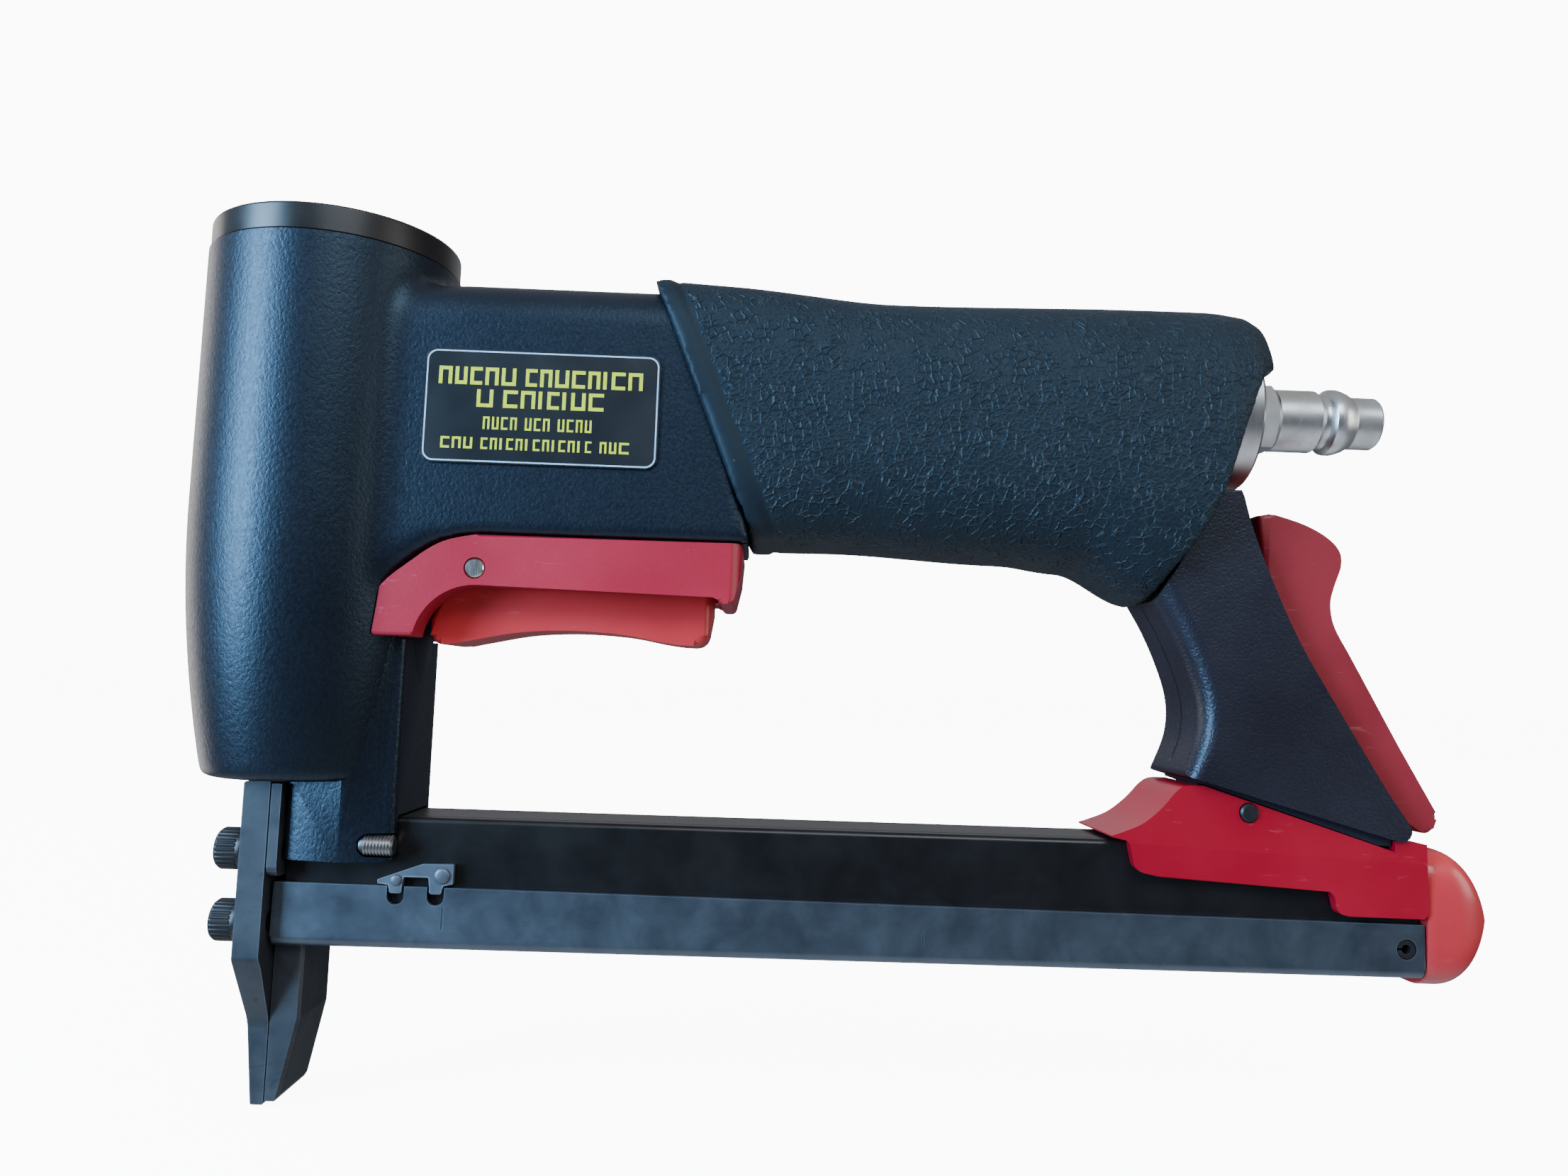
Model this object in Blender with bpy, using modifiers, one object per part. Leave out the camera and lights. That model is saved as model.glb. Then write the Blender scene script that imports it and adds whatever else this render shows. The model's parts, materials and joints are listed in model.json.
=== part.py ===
"""Pneumatic nail gun: a fine wire stapler with a long nose, as an assembly of separate parts.

Sizes are in millimetres and are scaled to metres where a mesh or a modifier is made.
X runs from the nose to the air inlet, Z is up, and -Y is the side with the label.
Parts are laid out from the driver's axis (X 0, Y 0) and from the nose tip (Z 0).
The origin of the frame is the middle of the front plate's tip face, AXIS_X in front of that axis.
"""
import math

import bmesh
import bpy
from mathutils import Matrix, Vector

MM = 0.001
OBJECT = "pneumatic_nail_gun"
AXIS_X = 1.8

# Clearance between neighbours, and the sides of a full turn
GAP = 0.3
TURN_STEPS = 40
SMALL_STEPS = 24

# Barrel and its cap
BARREL_R = 22.1
BARREL_FOOT_R = 16.9
BARREL_FOOT_Z = 55.5
BARREL_TAPER_Z = 104.0
BARREL_TOP_Z = 148.7
CAP_R = 21.8
CAP_TOP_Z = 153.7
CAP_SPIGOT_Z = 144.4
CAP_SPIGOT_R = 18.9
UPPER_BORE_R = 19.2
LOWER_BORE_R = 17.3
LOWER_BORE_TOP_Z = 100.0
SHOULDER_Z = 70.0
STOP_BORE_R = 13.0
STOP_BORE_Z = 58.2

# Cylinder, piston and driver
SLEEVE_R = 17.0
SLEEVE_BORE_R = 14.0
SLEEVE_TOP_Z = 137.5
PISTON_R = 13.7
PISTON_Z = 121.9
PISTON_TOP_Z = 135.0
PISTON_SEAL_Z = 128.5
STOP_TOP_Z = 72.0
DRIVER_HALF_WIDTH = 4.5
DRIVER_THICKNESS = 1.2
DRIVER_TIP_Z = 50.0
DRIVER_TOP_Z = 126.0

# Handle, rubber sleeve and air inlet
NECK_HALF_WIDTH = 15.5
NECK_TOP_Z = 144.2
NECK_FLOOR_Z = 99.0
HANDLE_HALF_WIDTH = 14.0
HANDLE_TOP_Z = 142.3
HANDLE_FLOOR_Z = 103.0
HANDLE_END_X = 165.2
INLET_Z = 127.7
END_CAP_R = 13.9
NIPPLE_HEX = 11.7
NIPPLE_BORE_R = 3.2
NIPPLE_END_X = 196.2

# Trigger and its valve
PIVOT_X = 32.1
PIVOT_Z = 92.8
PIVOT_R = 1.7
GUARD_HALF_WIDTH = 14.8
TRIGGER_HALF_WIDTH = 7.8
VALVE_X = 52.0
VALVE_TOP_Z = 112.6

# Rear strut and latch
STRUT_HALF_WIDTH = 11.0
LEVER_HALF_WIDTH = 7.9
LATCH_X = 178.5
LATCH_Z = 77.0
LATCH_R = 1.9
LATCH_SPRING_Z = 98.0

# Magazine
RAIL_HALF_WIDTH = 8.07
RAIL_INNER = 5.1
RAIL_TOP_Z = 49.5
RAIL_CEILING_Z = 48.2
RAIL_FOOT_Z = 34.6
RAIL_FRONT_X = 1.0
RAIL_END_X = 199.0
SLIDE_HALF_WIDTH = 9.4
SLIDE_WALL = 1.0
SLIDE_FLOOR_Z = 27.2
SLIDE_FLOOR = 1.2
SLIDE_FRONT_X = -0.4
SLIDE_END_X = 199.5
CORE_HALF_WIDTH = 3.8
CORE_WALL = 0.9
CORE_TOP_Z = 45.5
CORE_END_X = 183.0
ROD_Z = 37.0
ROD_R = 1.1
SADDLE_HALF_WIDTH = 10.5
SADDLE_PIN_X = 168.2
SADDLE_PIN_Z = 55.1
ROLL_PIN_X = 196.2
ROLL_PIN_Z = 32.35
BUMPER_X = 203.0
BUMPER_REACH = 8.4
BUMPER_Z = 37.4
BUMPER_R = 12.0
BUMPER_HALF_WIDTH = 9.9

# Nose
PLATE_HALF_WIDTH = 12.0
PLATE_FRONT_X = -5.5
PLATE_BACK_X = -1.0
PLATE_TOP_Z = 55.2
PLATE_CREASE_Z = 25.3
TIP_HALF_WIDTH = 6.5
TIP_FRONT_X = -2.9
TIP_BACK_X = -0.7
NOSE_SCREW_Y = 8.0
NOSE_SCREW_Z = (43.3, 31.2)

# Material: colour, roughness, metallic
MATERIALS = {
    "housing_paint": ((0.016, 0.019, 0.024), 0.48, 0.0),
    "cap_plastic": ((0.018, 0.019, 0.021), 0.28, 0.0),
    "grip_rubber": ((0.018, 0.022, 0.026), 0.72, 0.0),
    "strut_plastic": ((0.014, 0.014, 0.016), 0.42, 0.0),
    "guard_red": ((0.42, 0.016, 0.026), 0.42, 0.0),
    "trigger_red": ((0.50, 0.020, 0.018), 0.40, 0.0),
    "saddle_red": ((0.60, 0.006, 0.018), 0.30, 0.0),
    "lever_red": ((0.40, 0.014, 0.022), 0.45, 0.0),
    "bumper_orange": ((0.66, 0.045, 0.025), 0.30, 0.0),
    "rail_steel": ((0.020, 0.020, 0.022), 0.35, 0.6),
    "slide_steel": ((0.055, 0.060, 0.068), 0.38, 0.8),
    "nose_steel": ((0.050, 0.052, 0.055), 0.50, 0.8),
    "clip_steel": ((0.140, 0.150, 0.160), 0.45, 0.8),
    "screw_steel": ((0.020, 0.020, 0.021), 0.40, 0.8),
    "bright_steel": ((0.520, 0.520, 0.500), 0.28, 1.0),
    "nickel": ((0.560, 0.550, 0.530), 0.26, 1.0),
    "aluminium": ((0.600, 0.610, 0.620), 0.34, 1.0),
    "spring_steel": ((0.330, 0.330, 0.330), 0.35, 1.0),
    "seal_rubber": ((0.020, 0.020, 0.020), 0.70, 0.0),
    "label_film": ((0.012, 0.012, 0.014), 0.25, 0.0),
}


# ---------------------------------------------------------------- tools


def clear_scene():
    for obj in list(bpy.data.objects):
        bpy.data.objects.remove(obj, do_unlink=True)


def make_collection(name):
    made = bpy.data.collections.new(name)
    bpy.context.scene.collection.children.link(made)
    return made


def make_material(name):
    colour, roughness, metallic = MATERIALS[name]
    made = bpy.data.materials.new(name)
    made.use_nodes = True
    shader = made.node_tree.nodes["Principled BSDF"]
    shader.inputs["Base Color"].default_value = (*colour, 1.0)
    shader.inputs["Roughness"].default_value = roughness
    shader.inputs["Metallic"].default_value = metallic
    made.diffuse_color = (*colour, 1.0)
    return made


def from_bmesh(name, bm):
    """An object whose bmesh was built in millimetres."""
    bm.normal_update()
    bmesh.ops.recalc_face_normals(bm, faces=bm.faces)
    if bm.calc_volume(signed=True) < 0:
        bmesh.ops.reverse_faces(bm, faces=bm.faces)
    bm.transform(Matrix.Scale(MM, 4))
    mesh = bpy.data.meshes.new(name)
    bm.to_mesh(mesh)
    bm.free()
    obj = bpy.data.objects.new(name, mesh)
    parts.objects.link(obj)
    return obj


def box(name, low, high):
    bm = bmesh.new()
    bmesh.ops.create_cube(bm, size=1.0)
    size = Vector(high) - Vector(low)
    middle = (Vector(high) + Vector(low)) / 2
    bmesh.ops.scale(bm, vec=size, verts=bm.verts)
    bmesh.ops.translate(bm, vec=middle, verts=bm.verts)
    return from_bmesh(name, bm)


def rod(name, start, end, radius, end_radius=None, steps=SMALL_STEPS):
    """A cylinder, cone or prism between two points."""
    start = Vector(start)
    span = Vector(end) - start
    bm = bmesh.new()
    bmesh.ops.create_cone(
        bm, cap_ends=True, segments=steps, radius1=radius, depth=span.length,
        radius2=radius if end_radius is None else end_radius,
    )
    turn = span.to_track_quat("Z", "Y").to_matrix().to_4x4()
    bm.transform(Matrix.Translation(start + span / 2) @ turn)
    return from_bmesh(name, bm)


AXES = {
    "X": Matrix(((0, 0, 1, 0), (1, 0, 0, 0), (0, 1, 0, 0), (0, 0, 0, 1))),
    "Y": Matrix(((1, 0, 0, 0), (0, 0, -1, 0), (0, 1, 0, 0), (0, 0, 0, 1))),
    "Z": Matrix.Identity(4),
}


def prism(name, outline, low, high, along="Y"):
    """A flat outline, (X, Z), (Y, Z) or (X, Y), drawn out between low and high."""
    curve = bpy.data.curves.new(name, "CURVE")
    curve.dimensions = "2D"
    curve.fill_mode = "BOTH"
    curve.extrude = (high - low) / 2 * MM
    spline = curve.splines.new("POLY")
    spline.points.add(len(outline) - 1)
    for point, (across, up) in zip(spline.points, outline):
        point.co = (across * MM, up * MM, 0.0, 1.0)
    spline.use_cyclic_u = True
    guide = bpy.data.objects.new(name, curve)
    bpy.context.scene.collection.objects.link(guide)
    shift = {"X": (1, 0, 0), "Y": (0, 1, 0), "Z": (0, 0, 1)}[along]
    guide.matrix_world = Matrix.Translation(Vector(shift) * (low + high) / 2 * MM) @ AXES[along]
    bpy.context.view_layer.update()
    view = guide.evaluated_get(bpy.context.evaluated_depsgraph_get())
    mesh = bpy.data.meshes.new_from_object(view)
    mesh.transform(guide.matrix_world)
    bpy.data.objects.remove(guide, do_unlink=True)
    bm = bmesh.new()
    bm.from_mesh(mesh)
    bpy.data.meshes.remove(mesh)
    bmesh.ops.remove_doubles(bm, verts=bm.verts, dist=0.01 * MM)
    bmesh.ops.dissolve_limit(bm, angle_limit=math.radians(0.5), verts=bm.verts, edges=bm.edges)
    bm.transform(Matrix.Scale(1 / MM, 4))
    return from_bmesh(name, bm)


def turned(name, profile, centre=(0, 0, 0), along="Z", closed=False, steps=TURN_STEPS):
    """A solid of revolution; the profile is (radius, height), down its outer side."""
    bm = bmesh.new()
    verts = [bm.verts.new((radius * MM, 0.0, height * MM)) for radius, height in profile]
    pairs = list(zip(verts, verts[1:]))
    if closed:
        pairs.append((verts[-1], verts[0]))
    for pair in pairs:
        bm.edges.new(pair)
    mesh = bpy.data.meshes.new(name)
    bm.to_mesh(mesh)
    bm.free()
    obj = bpy.data.objects.new(name, mesh)
    parts.objects.link(obj)
    obj.location = Vector(centre) * MM
    if along == "X":
        obj.rotation_euler = (0.0, math.radians(90), 0.0)
    screw = obj.modifiers.new("Turn", "SCREW")
    screw.steps = steps
    screw.render_steps = steps
    screw.use_merge_vertices = True
    screw.merge_threshold = 0.00001
    return obj


def ring(name, centre, major, minor, along="Z", steps=32):
    """A seal ring of round section."""
    sides = 8
    profile = []
    for i in range(sides):
        turn = 2 * math.pi * (i + 0.5) / sides
        profile.append((major + minor * math.cos(turn), -minor * math.sin(turn)))
    return turned(name, profile, centre, along, closed=True, steps=steps)


def loft(name, sections):
    """A closed skin over rings that have the same number of points."""
    bm = bmesh.new()
    rings = [[bm.verts.new(point) for point in section] for section in sections]
    for low, high in zip(rings, rings[1:]):
        for i, _ in enumerate(low):
            after = (i + 1) % len(low)
            bm.faces.new((low[i], low[after], high[after], high[i]))
    bm.faces.new(rings[0])
    bm.faces.new(rings[-1])
    return from_bmesh(name, bm)


def spring(name, start, end, radius, wire, turns):
    """A coil of round wire between two points."""
    start = Vector(start)
    span = Vector(end) - start
    frame = span.to_track_quat("Z", "Y").to_matrix()
    per_turn = 7
    count = turns * per_turn + 1
    curve = bpy.data.curves.new(name, "CURVE")
    curve.dimensions = "3D"
    curve.bevel_depth = wire * MM
    curve.bevel_resolution = 1
    curve.use_fill_caps = True
    spline = curve.splines.new("POLY")
    spline.points.add(count - 1)
    for i, point in enumerate(spline.points):
        turn = 2 * math.pi * i / per_turn
        local = Vector((radius * math.cos(turn), radius * math.sin(turn), span.length * i / (count - 1)))
        point.co = (*((start + frame @ local) * MM), 1.0)
    obj = bpy.data.objects.new(name, curve)
    parts.objects.link(obj)
    return obj


def round_edges(obj, width, steps, test):
    """Rounds the mesh edges whose end points, in millimetres, pass the test."""
    bm = bmesh.new()
    bm.from_mesh(obj.data)
    chosen = [edge for edge in bm.edges if test(edge.verts[0].co / MM, edge.verts[1].co / MM)]
    bmesh.ops.bevel(
        bm, geom=chosen, offset=width * MM, offset_type="OFFSET", segments=steps, profile=0.5,
        affect="EDGES", clamp_overlap=True,
    )
    bm.to_mesh(obj.data)
    bm.free()
    return obj


def soften(obj, width, steps=2, angle=35):
    bevel = obj.modifiers.new("Soften", "BEVEL")
    bevel.width = width * MM
    bevel.segments = steps
    bevel.limit_method = "ANGLE"
    bevel.angle_limit = math.radians(angle)
    return obj


def combine(obj, operation, tools):
    for tool in tools:
        parts.objects.unlink(tool)
        cutters.objects.link(tool)
        tool.hide_render = True
        tool.display_type = "WIRE"
        tool.parent = axis_frame
        step = obj.modifiers.new(operation.title(), "BOOLEAN")
        step.operation = operation
        step.solver = "EXACT"
        step.object = tool
    return obj


def cut(obj, *tools):
    return combine(obj, "DIFFERENCE", tools)


def join(obj, *tools):
    return combine(obj, "UNION", tools)


def smooth(obj, angle=35):
    if obj.type == "MESH":
        obj.data.shade_smooth()
        obj.data.set_sharp_from_angle(angle=math.radians(angle))


def arc(centre, radius, start, end, steps):
    """Points on an arc, in degrees."""
    made = []
    for i in range(steps + 1):
        turn = math.radians(start + (end - start) * i / steps)
        made.append((centre[0] + radius * math.cos(turn), centre[1] + radius * math.sin(turn)))
    return made


def mix(table, x):
    """Value at x of a smooth line through the (x, value) pairs."""
    for (x0, v0), (x1, v1) in zip(table, table[1:]):
        if x <= x1:
            t = max(0.0, (x - x0) / (x1 - x0))
            return v0 + (v1 - v0) * t * t * (3 - 2 * t)
    return table[-1][1]


def along_y(radius):
    """Test for the long edges of a prism at its two faces, |Y| = radius."""
    def test(a, b):
        on_face = abs(abs(a.y) - radius) < 0.01 and abs(abs(b.y) - radius) < 0.01
        return on_face and a.y * b.y > 0
    return test


# ---------------------------------------------------------------- barrel and cap


def barrel_radius(z):
    """The barrel is straight above its taper and draws in like an ogive below it."""
    fall = max(0.0, (BARREL_TAPER_Z - z) / (BARREL_TAPER_Z - BARREL_FOOT_Z))
    return BARREL_R - (BARREL_R - BARREL_FOOT_R) * fall * fall


def barrel_solid(name, grow=0.0):
    steps = 9
    profile = [(0.0, BARREL_TOP_Z), (21.7 + grow, BARREL_TOP_Z), (BARREL_R + grow, BARREL_TOP_Z - 0.5)]
    for i in range(steps):
        z = BARREL_TAPER_Z + (BARREL_FOOT_Z + 1.0 - BARREL_TAPER_Z) * i / (steps - 1)
        profile.append((barrel_radius(z) + grow, z))
    profile.append((BARREL_FOOT_R - 0.8 + grow, BARREL_FOOT_Z))
    profile.append((0.0, BARREL_FOOT_Z))
    return turned(name, profile, steps=64)


def neck_solid(name, grow=0.0):
    """The web between barrel and handle, whose lower front follows the guard's arc."""
    top = NECK_TOP_Z + grow
    outline = [(4, top), (66 + grow, top), (78 + grow, NECK_FLOOR_Z - grow), (32.4, NECK_FLOOR_Z - grow)]
    outline += [(26.2, 97.6), (20.9, 94.1), (15.4, 88.8), (12.3, 80.4), (4, 80.4)]
    half = NECK_HALF_WIDTH + grow
    neck = prism(name, outline, -half, half)
    face = along_y(half)
    return round_edges(neck, 7.0 + grow, 5, lambda a, b: face(a, b) and min(a.z, b.z) > top - 0.1)


def handle_solid(name, grow=0.0, front=60.0, end=HANDLE_END_X):
    """The cast tube under the rubber sleeve."""
    outline = [
        (front, HANDLE_TOP_Z + grow),
        (end, HANDLE_TOP_Z + grow),
        (end, 114.0 - grow),
        (132, HANDLE_FLOOR_Z - grow),
        (front, HANDLE_FLOOR_Z - grow),
    ]
    half = HANDLE_HALF_WIDTH + grow
    tube = prism(name, outline, -half, half)
    face = along_y(half)
    return round_edges(tube, 9.0 + grow, 5, lambda a, b: face(a, b) and abs(a.x - b.x) > 5)


def reservoir():
    """The air space of the handle, open to the barrel and at the back."""
    outline = [(8, 138.5), (168, 138.5), (168, 117.2), (132, 107), (70, 107), (62, 116), (8, 116)]
    tube = prism("reservoir", outline, -10.5, 10.5)
    face = along_y(10.5)
    return round_edges(tube, 5.0, 3, lambda a, b: face(a, b) and abs(a.x - b.x) > 20)


def leg_solid():
    """The block under the barrel that straddles the magazine rail."""
    plan = [(1.4, -10.4), (11, -12.1), (19.9, -10.5), (19.9, 10.5), (11, 12.1), (1.4, 10.4)]
    leg = prism("leg", plan, 42.0, 80.3, along="Z")

    def rear_upright(a, b):
        return a.x > 19 and b.x > 19 and abs(a.z - b.z) > 5

    return round_edges(leg, 1.2, 2, rear_upright)


def housing():
    body = barrel_solid("housing")
    join(body, neck_solid("neck"), handle_solid("handle_tube"), leg_solid())
    bore = [
        (0.0, 160.0), (UPPER_BORE_R, 160.0), (UPPER_BORE_R, LOWER_BORE_TOP_Z),
        (LOWER_BORE_R, LOWER_BORE_TOP_Z), (LOWER_BORE_R, SHOULDER_Z), (STOP_BORE_R, SHOULDER_Z),
        (STOP_BORE_R, STOP_BORE_Z), (0.0, STOP_BORE_Z),
    ]
    cut(body, turned("bore", bore))
    cut(body, reservoir())
    cut(body, box("driver_slot", (-1.0, -5.2, 50), (1.0, 5.2, 60)))
    cut(body, box("rail_slot", (-1, -8.4, 40), (25, 8.4, 49.8)))
    cut(body, rod("valve_hole", (VALVE_X, 0, 95), (VALVE_X, 0, VALVE_TOP_Z), 6.3))
    cut(body, rod("valve_port", (VALVE_X, 0, 110), (VALVE_X, 0, 120), 2.5))
    for side in (-1, 1):
        cut(body, rod("set_screw_hole", (13, side * 10.45, 44.9), (25, side * 10.45, 44.9), 2.1, steps=16))
    return body


def top_cap():
    profile = [
        (0.0, CAP_TOP_Z), (17.6, CAP_TOP_Z), (19.8, CAP_TOP_Z - 0.5), (21.1, CAP_TOP_Z - 1.5),
        (21.55, CAP_TOP_Z - 2.6), (CAP_R, BARREL_TOP_Z + GAP), (CAP_SPIGOT_R, BARREL_TOP_Z + GAP),
        (CAP_SPIGOT_R, 147.9), (17.1, 147.9), (17.1, 145.5), (CAP_SPIGOT_R, 145.5),
        (CAP_SPIGOT_R, CAP_SPIGOT_Z), (14.0, CAP_SPIGOT_Z), (14.0, 150.6), (0.0, 150.6),
    ]
    return turned("top_cap", profile)


def cylinder_sleeve():
    profile = [
        (18.9, SLEEVE_TOP_Z), (18.9, 134.0), (SLEEVE_R, 133.0), (SLEEVE_R, SHOULDER_Z + GAP),
        (SLEEVE_BORE_R, SHOULDER_Z + GAP), (SLEEVE_BORE_R, SLEEVE_TOP_Z),
    ]
    return turned("cylinder_sleeve", profile, closed=True)


def piston_stop():
    profile = [
        (11.6, STOP_TOP_Z), (12.7, STOP_TOP_Z - 1.2), (12.7, STOP_BORE_Z + GAP),
        (6.4, STOP_BORE_Z + GAP), (6.4, STOP_TOP_Z),
    ]
    return turned("piston_stop", profile, closed=True, steps=36)


def piston():
    seal = PISTON_SEAL_Z
    profile = [
        (0.0, PISTON_TOP_Z - 3), (9.5, PISTON_TOP_Z - 3), (10.5, PISTON_TOP_Z), (PISTON_R, PISTON_TOP_Z),
        (PISTON_R, seal + 1.6), (11.6, seal + 1.6), (11.6, seal - 1.6), (PISTON_R, seal - 1.6),
        (PISTON_R, PISTON_Z + 1), (12.7, PISTON_Z), (0.0, PISTON_Z),
    ]
    body = turned("piston", profile)
    return cut(body, box("blade_slot", (-0.9, -4.8, 115), (0.9, 4.8, DRIVER_TOP_Z + GAP)))


def driver_blade():
    half = DRIVER_THICKNESS / 2
    blade = box("driver_blade", (-half, -DRIVER_HALF_WIDTH, DRIVER_TIP_Z),
                (half, DRIVER_HALF_WIDTH, DRIVER_TOP_Z))
    return blade


# ---------------------------------------------------------------- grip and inlet

GRIP_TOP = [(56, 146.3), (64, 146.6), (104, 145.3), (162, 146.6), (168, 146.1), (171, 144.9),
            (173.3, 142.6), (174.3, 139.6)]
GRIP_FLOOR = [(56, 99.6), (92, 99.6), (126, 98.3), (137, 97.1), (151, 91.2), (160, 90.5), (175, 90)]
GRIP_HALF = [(56, 17.8), (100, 17.2), (150, 18.0), (162, 17.9), (168, 17.0), (171, 15.3), (173, 12.2),
             (174.3, 9.0)]
GRIP_SQUARE = [(56, 5.0), (74, 4.4), (104, 3.0), (174.3, 2.7)]


def grip_section(x, points=32):
    """A squarish oval around the handle, squarer at the front."""
    top = mix(GRIP_TOP, x)
    floor = mix(GRIP_FLOOR, x)
    half = mix(GRIP_HALF, x)
    middle = (top + floor) / 2
    power = 2 / mix(GRIP_SQUARE, x)
    made = []
    for i in range(points):
        turn = 2 * math.pi * i / points
        across = math.cos(turn)
        up = math.sin(turn)
        made.append((
            x,
            half * math.copysign(abs(across) ** power, across),
            middle + (top - floor) / 2 * math.copysign(abs(up) ** power, up),
        ))
    return made


def grip_sleeve():
    stations = [56, 64, 74, 84, 94, 104, 114, 124, 132, 138, 143, 147, 151, 158, 164, 168, 171, 173, 174.3]
    body = loft("grip_sleeve", [grip_section(x) for x in stations])
    front = prism("front_cut", [(40, 160), (54.4, 160), (84, 89), (40, 89)], -30, 30)
    rear = [(150.9, 92), (153.4, 97), (156.3, 101), (159.2, 106), (161.4, 111), (164.5, 120.3),
            (166.6, 126), (168.2, 130), (170.0, 132.8), (172.5, 134.4), (180, 135), (180, 84), (146.5, 84)]
    cut(body, front, prism("rear_cut", rear, -30, 30))
    cut(body, handle_solid("sleeve_bore", GAP, 50.0, HANDLE_END_X + GAP))
    cut(body, rod("end_cap_room", (160, 0, INLET_Z), (170.5, 0, INLET_Z), END_CAP_R + GAP, steps=40))
    cut(body, neck_solid("neck_room", GAP), rod("nipple_room", (150, 0, INLET_Z), (176, 0, INLET_Z), 7.4))
    return body


def handle_end_cap():
    profile = [
        (12.9, 170.2), (END_CAP_R, 169.3), (END_CAP_R, 165.5), (9.4, 165.5), (9.4, 159.0), (5.3, 159.0),
        (5.3, 170.2),
    ]
    return turned("handle_end_cap", profile, (0, 0, INLET_Z), "X", closed=True)


def air_nipple():
    """Quick coupler plug: hexagon, shank, locking groove and ridge, with a through bore."""
    bore = NIPPLE_BORE_R
    profile = [
        (bore, NIPPLE_END_X), (4.35, NIPPLE_END_X), (4.9, 195.6), (4.9, 191.3), (5.3, 190.6),
        (5.9, 189.4), (6.2, 188.2), (6.2, 187.2), (5.9, 186.6), (5.0, 186.0), (5.0, 185.0),
        (5.85, 184.4), (5.85, 173.0), (5.0, 172.6), (5.0, 161.0), (bore, 161.0),
    ]
    body = turned("air_nipple", profile, (0, 0, INLET_Z), "X", closed=True, steps=32)
    flat = NIPPLE_HEX / 2 / math.cos(math.pi / 6)
    hexagon = rod("hexagon", (171.3, 0, INLET_Z), (175.7, 0, INLET_Z), flat, steps=6)
    cut(hexagon, rod("hexagon_bore", (170, 0, INLET_Z), (177, 0, INLET_Z), 4.5))
    return join(body, hexagon)


def nipple_seal():
    profile = [(7.2, 171.1), (7.2, 170.4), (5.3, 170.4), (5.3, 171.1)]
    return turned("nipple_seal", profile, (0, 0, INLET_Z), "X", closed=True, steps=36)


# ---------------------------------------------------------------- trigger group


def trigger_guard():
    outline = [(12.9, 80.7), (15.8, 88.6), (21.2, 93.7), (26.4, 97.2), (32.5, NECK_FLOOR_Z - GAP)]
    outline += [(78.1, NECK_FLOOR_Z - GAP), (77.7, 93.0), (76.5, 88.2), (74.3, 88.2), (73.6, 89.9)]
    outline += arc((32.6, 79.3), 10.6, 90, 172, 6)
    body = prism("trigger_guard", outline, -GUARD_HALF_WIDTH, GUARD_HALF_WIDTH)
    face = along_y(GUARD_HALF_WIDTH)
    round_edges(body, 0.7, 2, face)
    cut(body, barrel_solid("barrel_room", GAP))
    cut(body, box("trigger_room", (19, -8.3, 70), (73.4, 8.3, 96.2)))
    cut(body, rod("stem_hole", (VALVE_X, 0, 94), (VALVE_X, 0, 100), 3.0))
    cut(body, rod("pin_hole", (PIVOT_X, -20, PIVOT_Z), (PIVOT_X, 20, PIVOT_Z), PIVOT_R + 0.15))
    return body


def trigger():
    outline = [(23.4, 80.6), (25.2, 79.8)]
    outline += [(31, 80.9), (39, 82.4), (47.9, 82.9), (57, 82.5), (64, 81.5)]
    outline += [(69.4, 81.1), (71.4, 82.4), (72.5, 86.5), (72.8, 91.0), (72.2, 92.0), (40, 95.1)]
    outline += arc((PIVOT_X, PIVOT_Z), 2.9, 75, 170, 4)
    outline += [(25.2, 90.0), (22.9, 84.0)]
    body = prism("trigger", outline, -TRIGGER_HALF_WIDTH, TRIGGER_HALF_WIDTH)
    round_edges(body, 1.3, 2, along_y(TRIGGER_HALF_WIDTH))
    return cut(body, rod("pivot_hole", (PIVOT_X, -20, PIVOT_Z), (PIVOT_X, 20, PIVOT_Z), PIVOT_R + 0.15))


def trigger_pin():
    return soften(rod("trigger_pin", (PIVOT_X, -15.0, PIVOT_Z), (PIVOT_X, 15.0, PIVOT_Z), PIVOT_R), 0.25)


def valve_bushing():
    profile = [(6.0, 112.3), (6.0, 99.4), (1.9, 99.4), (1.9, 102.2), (4.2, 102.2), (4.2, 112.3)]
    return turned("valve_bushing", profile, (VALVE_X, 0, 0), closed=True, steps=32)


def valve_stem():
    profile = [
        (0.0, 108.2), (1.5, 108.2), (1.5, 105.0), (3.6, 105.0), (3.6, 103.2), (1.6, 103.2),
        (1.6, 94.9), (1.0, 94.3), (0.0, 94.3),
    ]
    return turned("valve_stem", profile, (VALVE_X, 0, 0), steps=SMALL_STEPS)


# ---------------------------------------------------------------- strut and latch


def strut_outline():
    front = [(151.9, 91.9), (154.8, 87.0), (157.4, 81.4), (159.3, 76.0), (159.9, 71.5), (159.3, 67.0),
             (157.0, 61.2)]
    rear = [(194.6, 50.9), (197.2, 52.4), (192.4, 59.4), (184.2, 72.9), (176.4, 86.4), (169.6, 102.4),
            (166.8, 112.2), (162.3, 112.2)]
    top = [(161.8, 110.6), (159.7, 105.7), (156.8, 100.6), (153.9, 96.5)]
    return front + rear + top


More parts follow.
